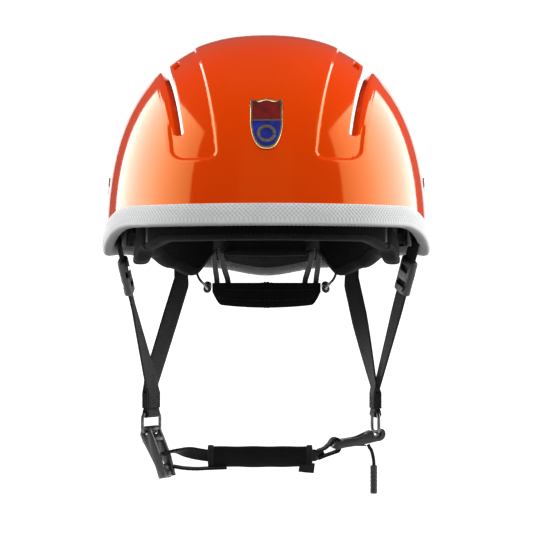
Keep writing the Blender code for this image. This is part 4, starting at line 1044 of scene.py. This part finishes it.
def nape_pad():
    """The felt pad on the neck, with its sewn border."""
    rings = nape_rings(0.4, 5.6, NAPE_LOW + 0.4, NAPE_HIGH - 0.4, NAPE_HALF_WIDTH - 0.4, 61, edge=1.8)
    count, seams = rings.shape[1], (1, 3)
    obj = tube("nape_pad_cover", rings, "felt", "nape_cradle", ("nape_pad",))
    held = [r * count + c for r in range(len(rings)) for c in seams] + list(range(count * 2))
    subdivided(filled(obj, held))
    runs = [(rings[3:-3, c] + [0, -0.25, 0], [0, -1.0, 0]) for c in seams]
    stitches("nape_pad_seam", runs, "nape_cradle", 1.9, 1.0, 0.2)


def nape_hardware():
    """Housing, wheel and arms of the cradle, with rounded edges."""
    rings = nape_rings(8.5, 15.5, NAPE_LOW + 1.5, NAPE_HIGH - 1, 26, 53, corner=9, edge=1.2)
    tube("nape_housing_cover", rings, "plastic", "nape_cradle", ("nape_housing",), sharp=50)
    for side, label in SIDES:
        for order, (top_x, top_y, foot_x) in enumerate(((39.0, 84.4, 36.5), (34.0, 86.6, 28.5))):
            foot_y = nape_y(foot_x, 9.5)
            route = [(side * top_x, top_y, TILT_Z + 3.5), (side * top_x, top_y, TILT_Z - 4),
                     (side * (top_x + foot_x) / 2, (top_y + foot_y) / 2, -11),
                     (side * foot_x, foot_y, -21), (side * foot_x, foot_y, -31)]
            path = smooth_path(route, 12)
            sides = np.stack([np.ones(len(path)), -2 * NAPE_CURVE * path[:, 0], np.zeros(len(path))], -1)
            name = f"nape_arm_{label}_{order + 1}"
            strap(name + "_moulding", path, sides, "nape_cradle", (name,), 4.2, 1.8, "plastic",
                  relief=0.0, step=0.8)
    wheel()
    cables()


def wheel():
    """The knurled adjuster wheel with a dished face."""
    lobes = 24
    turns = 2 * np.pi * np.arange(lobes * 8) / (lobes * 8)
    knurl = 0.75 * (0.5 + 0.5 * np.cos(lobes * turns)) ** 0.7
    stations = ((0.0, -2.2, 0), (0.0, -0.6, 1), (0.9, 0.0, 1), (3.5, 0.0, 1), (6.1, 0.0, 1), (7.0, -0.6, 1),
                (7.0, -1.8, 0), (6.4, -3.0, 0), (5.6, -6.0, 0), (5.6, -9.0, 0))
    rings = []
    for depth, shrink, knurled in stations:
        radius = WHEEL_RADIUS - 0.1 + shrink - knurl * knurled
        rings.append(np.stack([radius * np.cos(turns), np.full(len(turns), NAPE_Y + WHEEL_FROM + depth),
                               WHEEL_Z + radius * np.sin(turns)], -1))
    tube("adjuster_wheel_grip", rings, "rubber", "adjuster", ("adjuster_wheel",), sharp=45)


def cables():
    """The thin stranded cables that draw the cradle in."""
    for side, label in SIDES:
        turns = np.radians(np.linspace(-11, 15, 12))
        swing = np.stack([np.full(12, side * CABLE_X), TILT_Y - CABLE_ARC * np.sin(turns),
                          TILT_Z - CABLE_ARC * np.cos(turns)], -1)
        rest = smooth_path([swing[-1], *((side * x, y, z) for x, y, z in CABLE_ROUTE)], 10)
        path = np.vstack([swing, rest[1:]])
        path = resample(path, (1, 1, 1), 0.35)[0]

        def twist(run, turn):
            return -0.1 + 0.09 * np.abs(np.cos(3 * turn - run * 1.6))

        round_bar(f"tension_cable_{label}_strand", path, CABLE_RADIUS, "dark_steel", "helmet",
                  (f"tension_cable_{label}",), around=24, relief=twist)


def crown_cradle():
    """The webbing over the crown, sewn at a patch."""
    side_route = [(-86.2, -8, 30), (-80, -8, 55), (-62, -8, 78), (-32, -8, 95), (0, -8, 100),
                  (32, -8, 95), (62, -8, 78), (80, -8, 55), (86.2, -8, 30)]
    long_route = [(0, -105, 38.5), (0, -98, 60), (0, -74, 84), (0, -42, 97.5), (0, -8, 102.0),
                  (0, 28, 96.5), (0, 60, 78), (0, 80, 52), (0, 87, 23.5)]
    for label, route, axis in (("side", side_route, (0, 1.0, 0)), ("long", long_route, (1.0, 0, 0))):
        path = smooth_path(route, 8)
        name = f"crown_strap_{label}"
        strap(name + "_web", path, axis, "helmet", (name,), step=0.6)
    patch = np.array([(-8.5, -8, 103.8), (8.5, -8, 103.8)])
    strap("crown_patch_web", patch, (0, 1.0, 0), "helmet", ("crown_patch",), 17, 1.2)
    up = (0, 0, 1.0)
    corners = ((-7, -15), (7, -15), (7, -1), (-7, -1), (-7, -15))
    square = np.array([(x, y, 104.45) for x, y in corners])
    cross = [(square[[0, 2]], up), (square[[1, 3]], up)]
    stitches("crown_patch_stitching", [(square, up), *cross], "helmet", 1.5, 0.6)


# ---------------------------------------------------------------- chin straps


def lie(turn):
    """The level direction that webbing's width takes, at an angle in degrees from straight back."""
    return np.array([math.sin(math.radians(turn)), math.cos(math.radians(turn)), 0.0])


def turning(count, first, last, hold):
    shares = np.clip((np.arange(count) / (count - 1) - hold) / (1 - hold), 0, 1)
    return np.array([lie(first + (last - first) * share) for share in shares])


def tab_face(side):
    """The level direction out of the front of a side's tab."""
    return -np.cross((0, 0, 1.0), lie(RING_TURN[side]))


def front_strap_ends(side):
    foot = np.array([*JOIN[side], TAB_TOP_Z + 3.6]) + tab_face(side)
    return np.array([side * FRONT_ANCHOR[0], *FRONT_ANCHOR[1:]]), foot


def sewn_end(path, side, sign):
    """The path carried on down over the tab, on its front (1) or its back (-1)."""
    face = tab_face(side) * sign
    column = np.array([*JOIN[side], 0.0])
    low = [column + face * 2.15 + [0, 0, z] for z in (TAB_TOP_Z + 0.2, TAB_TOP_Z - 3.0, TAB_TOP_Z - 10.2)]
    return np.vstack([path, smooth_path([path[-1], *low], 8)[1:]])


def yoke(side, label):
    """One side's straps, tab, slider, ring and the strip that the front strap hangs from."""
    top, foot = front_strap_ends(side)
    path = sewn_end(top + (foot - top) * np.linspace(0, 1, 60)[:, None], side, 1)
    sides = np.vstack([turning(60, FRONT_TURN[side], RING_TURN[side], 0.45),
                       np.tile(lie(RING_TURN[side]), (len(path) - 60, 1))])
    strap(f"front_strap_{label}_web", path, sides, "helmet", (f"front_strap_{label}",))
    rear_foot = np.array([*JOIN[side], TAB_TOP_Z + 6.0]) - tab_face(side)
    knee = np.array([side * 61.8, 67.6, -21])
    head = smooth_path([(side * 62.4, 70.4, -10), (side * 62.2, 69.8, -15), knee], 8)
    straight = knee + (rear_foot - knee) * np.linspace(0, 1, 60)[1:, None]
    path = np.vstack([head, straight])
    sides = turning(len(path), -side * 37, RING_TURN[side], 0.5)
    path = sewn_end(path, side, -1)
    sides = np.vstack([sides, np.tile(lie(RING_TURN[side]), (len(path) - len(sides), 1))])
    strap(f"rear_strap_{label}_web", path, sides, "helmet", (f"rear_strap_{label}",))
    strap_tab(side, label)
    slider(side, label, top, foot)
    wire_ring(side, label)
    hanger(side, label)


def hanger(side, label):
    """The moulded lug inside the shell that the front strap's top end is held in."""
    place = dome_place(side * LUG_TURN, LUG_HEIGHT)
    out = dome_normal(place)
    axes = frame_of(place - out * LUG_INSET, unit(np.cross((0, 0, 1.0), out)), out)
    body = rounded(block(f"lug_{label}_a", (17, 22, 4.2), axes), 1.4)
    rib = rounded(block(f"lug_{label}_b", (12, 3, 6.4), axes, (0, 4, 0)), 0.8)
    settled(f"strap_lug_{label}", [body, rib], "plastic", "helmet")


def strap_tab(side, label):
    """The folded tab that both straps are sewn into, looped round the ring."""
    width = lie(RING_TURN[side])
    axes = frame_of((*JOIN[side], RING_TOP_Z), np.cross(width, (0, 0, 1.0)), width)
    rise = TAB_TOP_Z - RING_TOP_Z
    down = -1 if (axes.to_3x3() @ Vector((0, 1, 0))).z < 0 else 1
    lines = arc((0, 0), 2.4, -20, -160, 16)
    loop = [(0.75, rise), (0.75, 5.0), (1.6, 2.2), *lines, (-1.6, 2.2), (-0.75, 5.0), (-0.75, rise)]
    path = [axes @ (Vector((x, y * down, 0)) * MM) / MM for x, y in loop]
    path = smooth_path([tuple(p) for p in path], 4)
    strap(f"strap_tab_{label}_loop", path, width, "helmet",
          (f"strap_tab_{label}",), thick=1.2)
    runs = []
    corners = ((-5.6, -109.5), (5.6, -109.5), (5.6, -100.5), (-5.6, -100.5), (-5.6, -109.5))
    for sign in (-1, 1):
        out = np.array(axes.to_3x3() @ Vector((1, 0, 0))) * sign
        box = np.array([(*JOIN[side], z) + width * a + out * 2.95 for a, z in corners])
        runs += [(line, out) for line in (box, box[[0, 2]], box[[1, 3]])]
    stitches(f"strap_tab_{label}_stitching", runs, "helmet", 1.4, 0.5, 0.26)


def slider(side, label, top, foot):
    """The moulded ladder slider on the front strap."""
    down = unit(foot - top)
    centre = top + down * SLIDER_ALONG
    across = lie(FRONT_TURN[side])
    across = unit(across - down * np.dot(down, across))
    axes = frame_of(centre, across, down)
    width, thick, length = SLIDER_SIZE
    side_line = [(4, -thick / 2), (width / 2 - 1.2, -thick / 2 + 0.5), (width / 2, -1.1)]
    near = [(-x, y) for x, y in reversed(side_line)] + side_line
    profile = near + [(-x, -y) for x, y in near]
    body = rounded(prism(f"slider_{label}_a", profile, length, axes), 1.5, 4, angle=40)
    window = (WEB_WIDTH - 3.5, thick + 6, 4.2)
    cuts = (((WEB_WIDTH + 0.9, WEB_THICK + 0.9, length + 4), (0, 0, 0)),
            (window, (0, 0, -5.2)), (window, (0, 0, 5.2)),
            ((width + 8, 1.5, 4.6), (0, 2.0, -2.5)), ((width + 8, 2.2, 3.4), (0, -thick / 2, 4.5)))
    cutters = [block(f"slider_{label}_cut_{i}", size, axes, place) for i, (size, place) in enumerate(cuts)]
    cut(body, cutters)
    settled(f"strap_slider_{label}_moulding", [body], "plastic", f"{label}_slider",
            (f"strap_slider_{label}",), cutters)


def wire_ring(side, label):
    """The formed wire ring."""
    across = lie(RING_TURN[side])
    half, low = RING_WIDTH / 2 - 3.5, -RING_HEIGHT
    outline = (
        arc((half, -3.5), 3.5, 90, 0, 10) + arc((half, low + 3.5), 3.5, 0, -90, 10)
        + arc((-half, low + 3.5), 3.5, -90, -180, 10) + arc((-half, -3.5), 3.5, 180, 90, 10)
    )
    centre = np.array([*JOIN[side], RING_TOP_Z])
    path = [centre + across * u + [0, 0, v] for u, v in outline]
    round_bar(f"wire_ring_{label}_wire", path, RING_WIRE, "dark_steel", "helmet",
              (f"wire_ring_{label}",), closed=True, around=20)


def buckle_frame(side):
    """A frame on the ring's lower wire: X level and outwards to the right, Y up, Z along the wire."""
    level = Vector(np.cross(lie(RING_TURN[side]), (0, 0, 1.0)))
    place = Vector((*JOIN[side], RING_TOP_Z - RING_HEIGHT)) * MM
    up = Vector((0, 0, 1))
    return Matrix.Translation(place) @ Matrix((level, up, level.cross(up))).transposed().to_4x4()


def chin_buckle():
    """The left adjuster: an eye on the ring's wire, side rails, bars and a grey thumb plate."""
    axes = buckle_frame(-1) @ Matrix.Rotation(math.radians(BUCKLE_LEAN), 4, "Z")
    turn = -BUCKLE_LEAN
    eye = arc((0, 0), 4.3, turn + 20, turn + 200, 16) + arc((0, 0), 2.3, turn + 200, turn + 20, 14)
    rail = [(-3.9, -1), (-4.3, -6), (-1.2, -20), (1.2, -33.4), (5.0, -34.2), (5.9, -20), (4.8, -6), (4.2, -1)]
    rail = arc((0, 0), 4.3, 0, 180, 12) + rail
    hole = arc((0, 0), 2.0, 0, 345, 16)
    parts, cutters = [], []
    for order, z in enumerate((-6.0, 6.0)):
        part = prism(f"buckle_rail_{order}", rail, 3.0, axes, z)
        cutters.append(prism(f"buckle_hole_{order}", hole, 6.0, axes, z))
        parts.append(rounded(cut(part, [cutters[-1]]), 0.7))
    parts.append(rounded(prism("buckle_eye", eye, 9.4, axes), 0.5))
    bars = ((2.9, -6.6, 3.6, 3.0), (2.6, -17.2, 3.0, 2.8), (2.6, -29.5, 3.2, 8.0))
    for order, (x, y, deep, tall) in enumerate(bars):
        parts.append(rounded(block(f"buckle_bar_{order}", (deep, tall, 11.0), axes, (x, y, 0)), 0.6))
    settled("chin_buckle_frame", parts, "plastic", "chin_strap", ("chin_buckle",), cutters)
    plate = rounded(block("buckle_plate_a", (1.1, 9.6, 13.6), axes, (-0.2, -28.6, 0)), 0.4)
    lip = rounded(block("buckle_plate_b", (2.2, 1.6, 13.6), axes, (0.3, -33.4, 0)), 0.6)
    settled("chin_buckle_plate", [plate, lip], "grey", "chin_strap")
    # The saddle strips' grey is partly the buckle's grey frame bar and partly a painted highlight along the
    # black frame's left side.
    saddle_highlight_outline = [(-4.9, 0.4), (-4.4, -6.0), (-2.4, -12.5), (-1.5, -12.2), (-3.4, -6.0), (-3.9, 0.4)]
    saddles_and_highlight = [rounded(prism(f"buckle_saddle_{i}", saddle_highlight_outline, 2.6, axes, z), 0.4)
               for i, z in enumerate((-6.2, 6.2))]
    settled("chin_buckle_saddle", saddles_and_highlight, "grey", "chin_strap")


def release_hook():
    """The right hook: an open pocket for the ring, a long ribbed bar and a slot for the strap."""
    axes = buckle_frame(1)
    pocket = arc((0, -0.9), 2.6, 175, 395, 20)
    nose = arc((0.6, -1.2), 5.0, 40, -90, 16)
    back = ((-3, -6.9), (-6, -7.6), (-16, -9.4), (-24, -10.6), (-29, -11.8), (-31.5, -9.6), (-29, -6.6),
            (-22, -4.8), (-14, -3.6), (-6, -0.2), (-3.6, 0.9))
    outline = pocket + nose + smooth_path(back, 4).tolist()
    body = prism("hook_body", outline, HOOK_WIDTH, axes)
    cutters = [
        block("hook_slot", (3.2, 20, HOOK_WIDTH - 3), axes, (-26.4, -9.2, 0)),
        block("hook_window", (11, 1.6, 7), axes, (-13.5, -6.4, 0)),
        block("hook_relief_a", (12, 4, HOOK_WIDTH - 6), axes, (-13.5, -2.4, 0)),
    ]
    rounded(cut(body, cutters), 0.8)
    ribs = [rounded(block(f"hook_rib_{i}", (14, 0.8, 1.0), axes, (-14.5, -9.3, z)), 0.3)
            for i, z in enumerate((-4.5, -1.5, 1.5, 4.5))]
    settled("release_hook_body", [body, *ribs], "plastic", "chin_strap",
            ("release_hook",), cutters)


def chin_width(x):
    """The way the chin strap's width lies: leaning back under the chin, and level at the hook."""
    lean = np.radians(CHIN_LEAN + (90 - CHIN_LEAN) * np.clip((np.asarray(x) - 34) / 8, 0, 1))
    return np.stack([np.zeros_like(lean), -np.sin(lean), np.cos(lean)], -1)


def chin_straps():
    """The strap through the pad, its tail, and the keeper before the hook."""
    path = smooth_path([(-72.2, 3.2, -141.2), (-67.5, 2.4, -139.9), (-62.0, 2.2, -139.5), (-54, 3.5, -140.5),
                        (-46, 4.6, -142), (-36, 5, -143), (0, 5, -143.6), (34, 5, -142.6), (37.5, 5, -141.8),
                        (40.5, 5, -140.6)], 12)
    share = ease((path[:, :1] + 70) / 20)
    sides = chin_width(path[:, 0]) * share - lie(RING_TURN[-1]) * (1 - share)
    strap("chin_strap_web", path, sides, "chin_strap", ("chin_strap",), 11.0, 1.8)
    tail = smooth_path([(-65.0, 3.0, -150.2), (-58, 3.6, -151.4), (-50, 5.0, -152.0), (-40, 6.8, -151.8),
                        (-28, 7.4, -151.4)], 10)
    strap("chin_strap_tail_web", tail, (0.1, 1, 0.1), "chin_strap",
          ("chin_strap_tail",), 9)
    loop = smooth_path([(36.5, 5, -144.6), (42, 4.8, -142.4), (47, 4.5, -140.6), (50.3, 4.2, -138.8),
                        (50.8, 4.2, -134.6), (49.6, 4.3, -131.0), (46.4, 4.6, -131.4), (43.8, 4.8, -134.8),
                        (40.5, 5, -137.6), (35.5, 5.2, -139.6)], 10)
    strap("chin_strap_loop", loop, lie(-10), "chin_strap", (), 11.5, 1.5)


def chin_sleeve(x, grow):
    """Rings of the chin pad's flattened section at places along the strap, scaled by grow."""
    tall, thick = CHIN_PAD_SIZE
    width = chin_width(np.array([0.0]))[0]
    face = np.cross(width, (-1.0, 0, 0))
    spokes = 2 * np.pi * (np.arange(CHIN_SPOKES) + 0.5) / CHIN_SPOKES
    across = np.sign(np.cos(spokes)) * np.abs(np.cos(spokes)) ** 0.75
    upward = np.sign(np.sin(spokes)) * np.abs(np.sin(spokes)) ** 0.6
    centre = np.stack([x, np.full(len(x), 5.0), -143.3 - 0.3 * (1 - ((x + 5) / 38) ** 2)], -1)
    section = face * (thick / 2 - 0.6) * across[:, None] + width * (tall / 2 - 0.5) * upward[:, None]
    return centre[:, None] + grow(spokes)[:, :, None] * section


def chin_pad():
    """The felt sleeve under the chin, with bound ends and a folded flap."""
    low, high = CHIN_PAD
    x = np.linspace(low, high, 60)[:, None]
    taper = 1 - 0.12 * np.clip(1 - np.minimum(x - low, high - x) / 1.5, 0, 1) ** 2
    rings = chin_sleeve(x[:, 0], lambda turn: taper * (
        1 + 0.035 * np.sin(x / 5.3) * np.cos(2 * turn + x / 11)))
    obj = tube("chin_pad_sleeve", rings, "felt", "chin_strap", ("chin_pad",))
    seams = (0, 1, 5, 6, 53, 54, 58, 59)
    points = len(x) * CHIN_SPOKES
    held = [r * CHIN_SPOKES + c for r in seams for c in range(CHIN_SPOKES)] + [points, points + 1]
    subdivided(filled(obj, held, 0.6))
    puff = 1.075 + 0.03 * np.sin(np.pi * np.linspace(0, 1, 8))[:, None]
    for order, (start, stop) in enumerate(((low - 0.3, low + 4.2), (high - 4.2, high + 0.3))):
        collar = chin_sleeve(np.linspace(start, stop, 8), lambda turn: puff)
        subdivided(tube(f"chin_pad_collar_{order + 1}", collar, "binding", "chin_strap"))
    fold = smooth_path([(high - 9, 4.6, -150.6), (high - 4, 4.2, -151.2), (high + 1.6, 3.8, -151.6)], 8)
    strap("chin_pad_fold", fold, (0.0, 0.75, 0.66), "chin_strap", (), 9, 2.0,
          "binding")


def pull_cord():
    """The braided cord and its toggle, which hang from the hook."""
    path = smooth_path(CORD_ROUTE, 12)
    path, _, run = resample(path, (1, 1, 1), 0.2)

    def braid(along, turn):
        first, second = np.cos(4 * turn - along * 2.6), np.cos(4 * turn + along * 2.6)
        return 0.07 * np.maximum(first, second) - 0.05

    cord = round_bar("pull_cord_braid", path, CORD_RADIUS, "webbing", "pull_cord",
                     ("pull_cord",), around=32, relief=braid)
    half, radius = (TOGGLE_TOP - TOGGLE_LOW) / 2, TOGGLE_RADIUS
    profile = [(1.5, half - 0.3), (1.9, half), (radius - 0.25, half - 0.1), (radius, half - 0.8)]
    for groove in range(5):
        z = half - 4.0 - groove * 2.9
        profile += [(radius, z + 0.5), (radius - 0.16, z + 0.25), (radius - 0.16, z - 0.25),
                    (radius, z - 0.5)]
    profile += [(radius, -half + 0.9), (radius - 0.3, -half + 0.15), (1.4, -half)]
    toggle = turned("pull_toggle_grip", profile, (75.3, 4.0, (TOGGLE_TOP + TOGGLE_LOW) / 2), (0, 0, 1),
                    "rubber", "pull_cord", "black_plastic", ("pull_toggle",))


# ---------------------------------------------------------------- kept CAD pieces, stage and camera


def dress_kept_nodes():
    """Detailed finishes for the CAD pieces that stay as they are."""
    finishes = {"steel": "dark_steel", "black_plastic": "plastic", "black_fabric": "felt",
                "black_webbing": "webbing"}
    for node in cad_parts.values():
        if node.hide_render:
            continue
        for material_slot in node.material_slots:
            label = material_slot.material.name.split(".")[0]
            if label in finishes:
                material_slot.material = LOOKS[finishes[label]]


def stage_plane(name, size, place, turn, material):
    """A flat stage panel."""
    mesh = bpy.data.meshes.new(name)
    w, h = size[0] / 2, size[1] / 2
    mesh.from_pydata([(-w, -h, 0), (w, -h, 0), (w, h, 0), (-w, h, 0)], [], [(0, 1, 2, 3)])
    mesh.materials.append(material)
    obj = bpy.data.objects.new(name, mesh)
    obj.location = place
    obj.rotation_euler = [math.radians(a) for a in turn]
    bpy.context.scene.collection.objects.link(obj)
    return obj


def glowing(name, strength, low, high, least):
    """A softbox front, brightening along its own Y from a least share at low to its strength at high."""
    material = bpy.data.materials.new(name)
    material.use_nodes = True
    nodes, links = material.node_tree.nodes, material.node_tree.links
    nodes.clear()
    out, light, place, split, span = (nodes.new(f"ShaderNode{kind}") for kind in (
        "OutputMaterial", "Emission", "TexCoord", "SeparateXYZ", "MapRange"))
    links.new(light.outputs[0], out.inputs["Surface"])
    links.new(place.outputs["Object"], split.inputs[0])
    links.new(split.outputs["Y"], span.inputs["Value"])
    links.new(span.outputs[0], light.inputs["Strength"])
    limits = {"From Min": low, "From Max": high, "To Min": least * strength, "To Max": strength}
    for label, value in limits.items():
        span.inputs[label].default_value = value
    return material


def area_light(name, place, size, power):
    """A soft light, aimed at the origin, that fills without showing as a patch in the gloss."""
    lamp = bpy.data.lights.new(name, "AREA")
    lamp.shape, lamp.size, lamp.energy = "SQUARE", size, power
    obj = bpy.data.objects.new(name, lamp)
    obj.location = place
    obj.rotation_euler = Vector(place).to_track_quat("Z", "Y").to_euler()
    obj.visible_glossy = False
    bpy.context.scene.collection.objects.link(obj)


def studio():
    """White surround, side softboxes, soft front fill."""
    scene = bpy.context.scene
    scene.view_settings.view_transform = "Standard"
    world = bpy.data.worlds.new("studio")
    world.use_nodes = True
    world.node_tree.nodes["Background"].inputs["Color"].default_value = (0.14, 0.14, 0.141, 1)
    scene.world = world
    white = Tree("floor_white", (0.9, 0.9, 0.9), 0.9)
    white.colour(white.level(white.noise(white.place(), 4), (0.0, 0.89), (1.0, 0.93)))
    white.set("Specular IOR Level", 0.0)
    white.set("Emission Color", (1, 1, 1, 1))
    white.set("Emission Strength", 1.0)
    floor = stage_plane("floor", (9, 9), (0, 2.2, -0.34), (0, 0, 0), white.material)
    backdrop = stage_plane("backdrop", (2.2, 1.6), (0, 3.2, 0.2), (90, 0, 0), white.material)
    floor.visible_diffuse = backdrop.visible_diffuse = False
    for label, side, strength in (("left", -1, 5.0), ("right", 1, 4.7)):
        name = f"softbox_{label}"
        look = glowing(name, strength, -1.21, -0.3, 0.45)
        box = stage_plane(name, (1.5, 2.42), (side * 1.25, 0.49, 0.42), (0, -side * 90, 0), look)
        box.visible_diffuse = box.visible_camera = False
    area_light("fill_front", (0.0, -2.4, 0.9), 1.6, 46)
    area_light("fill_top", (0.0, 0.1, 2.0), 1.5, 26)
    area_light("fill_left", (-1.1, 0.35, 0.3), 0.8, 15)
    area_light("fill_right", (1.1, 0.35, 0.3), 0.8, 22)


def camera():
    made = bpy.data.cameras.new("camera")
    made.lens, made.sensor_width, made.clip_end = LENS, 36, 50
    obj = bpy.data.objects.new("camera", made)
    obj.location = (0, -CAMERA_BACK * MM, CAMERA_HEIGHT * MM)
    obj.rotation_euler = (math.radians(90), 0, 0)
    bpy.context.scene.collection.objects.link(obj)
    bpy.context.scene.camera = obj


def build():
    camera()
    studio()
    pull_cord()
    shell_skin()
    liner_skin()
    braided_edge()
    rivets()
    badge()
    band_pad("brow_pad_cover", "brow_pad", -BROW_END, BROW_END)
    band_pad("wing_pad_right_cover", "wing_pad_right", BROW_END + 0.6, WING_END)
    band_pad("wing_pad_left_cover", "wing_pad_left", -WING_END, -BROW_END - 0.6)
    band_pad("rear_pad_cover", "rear_pad", REAR_PAD_START, 360 - REAR_PAD_START, "rear_felt")
    nape_pad()
    nape_hardware()
    crown_cradle()
    for side, label in SIDES:
        yoke(side, label)
    chin_buckle()
    release_hook()
    chin_straps()
    chin_pad()
    dress_kept_nodes()


build()
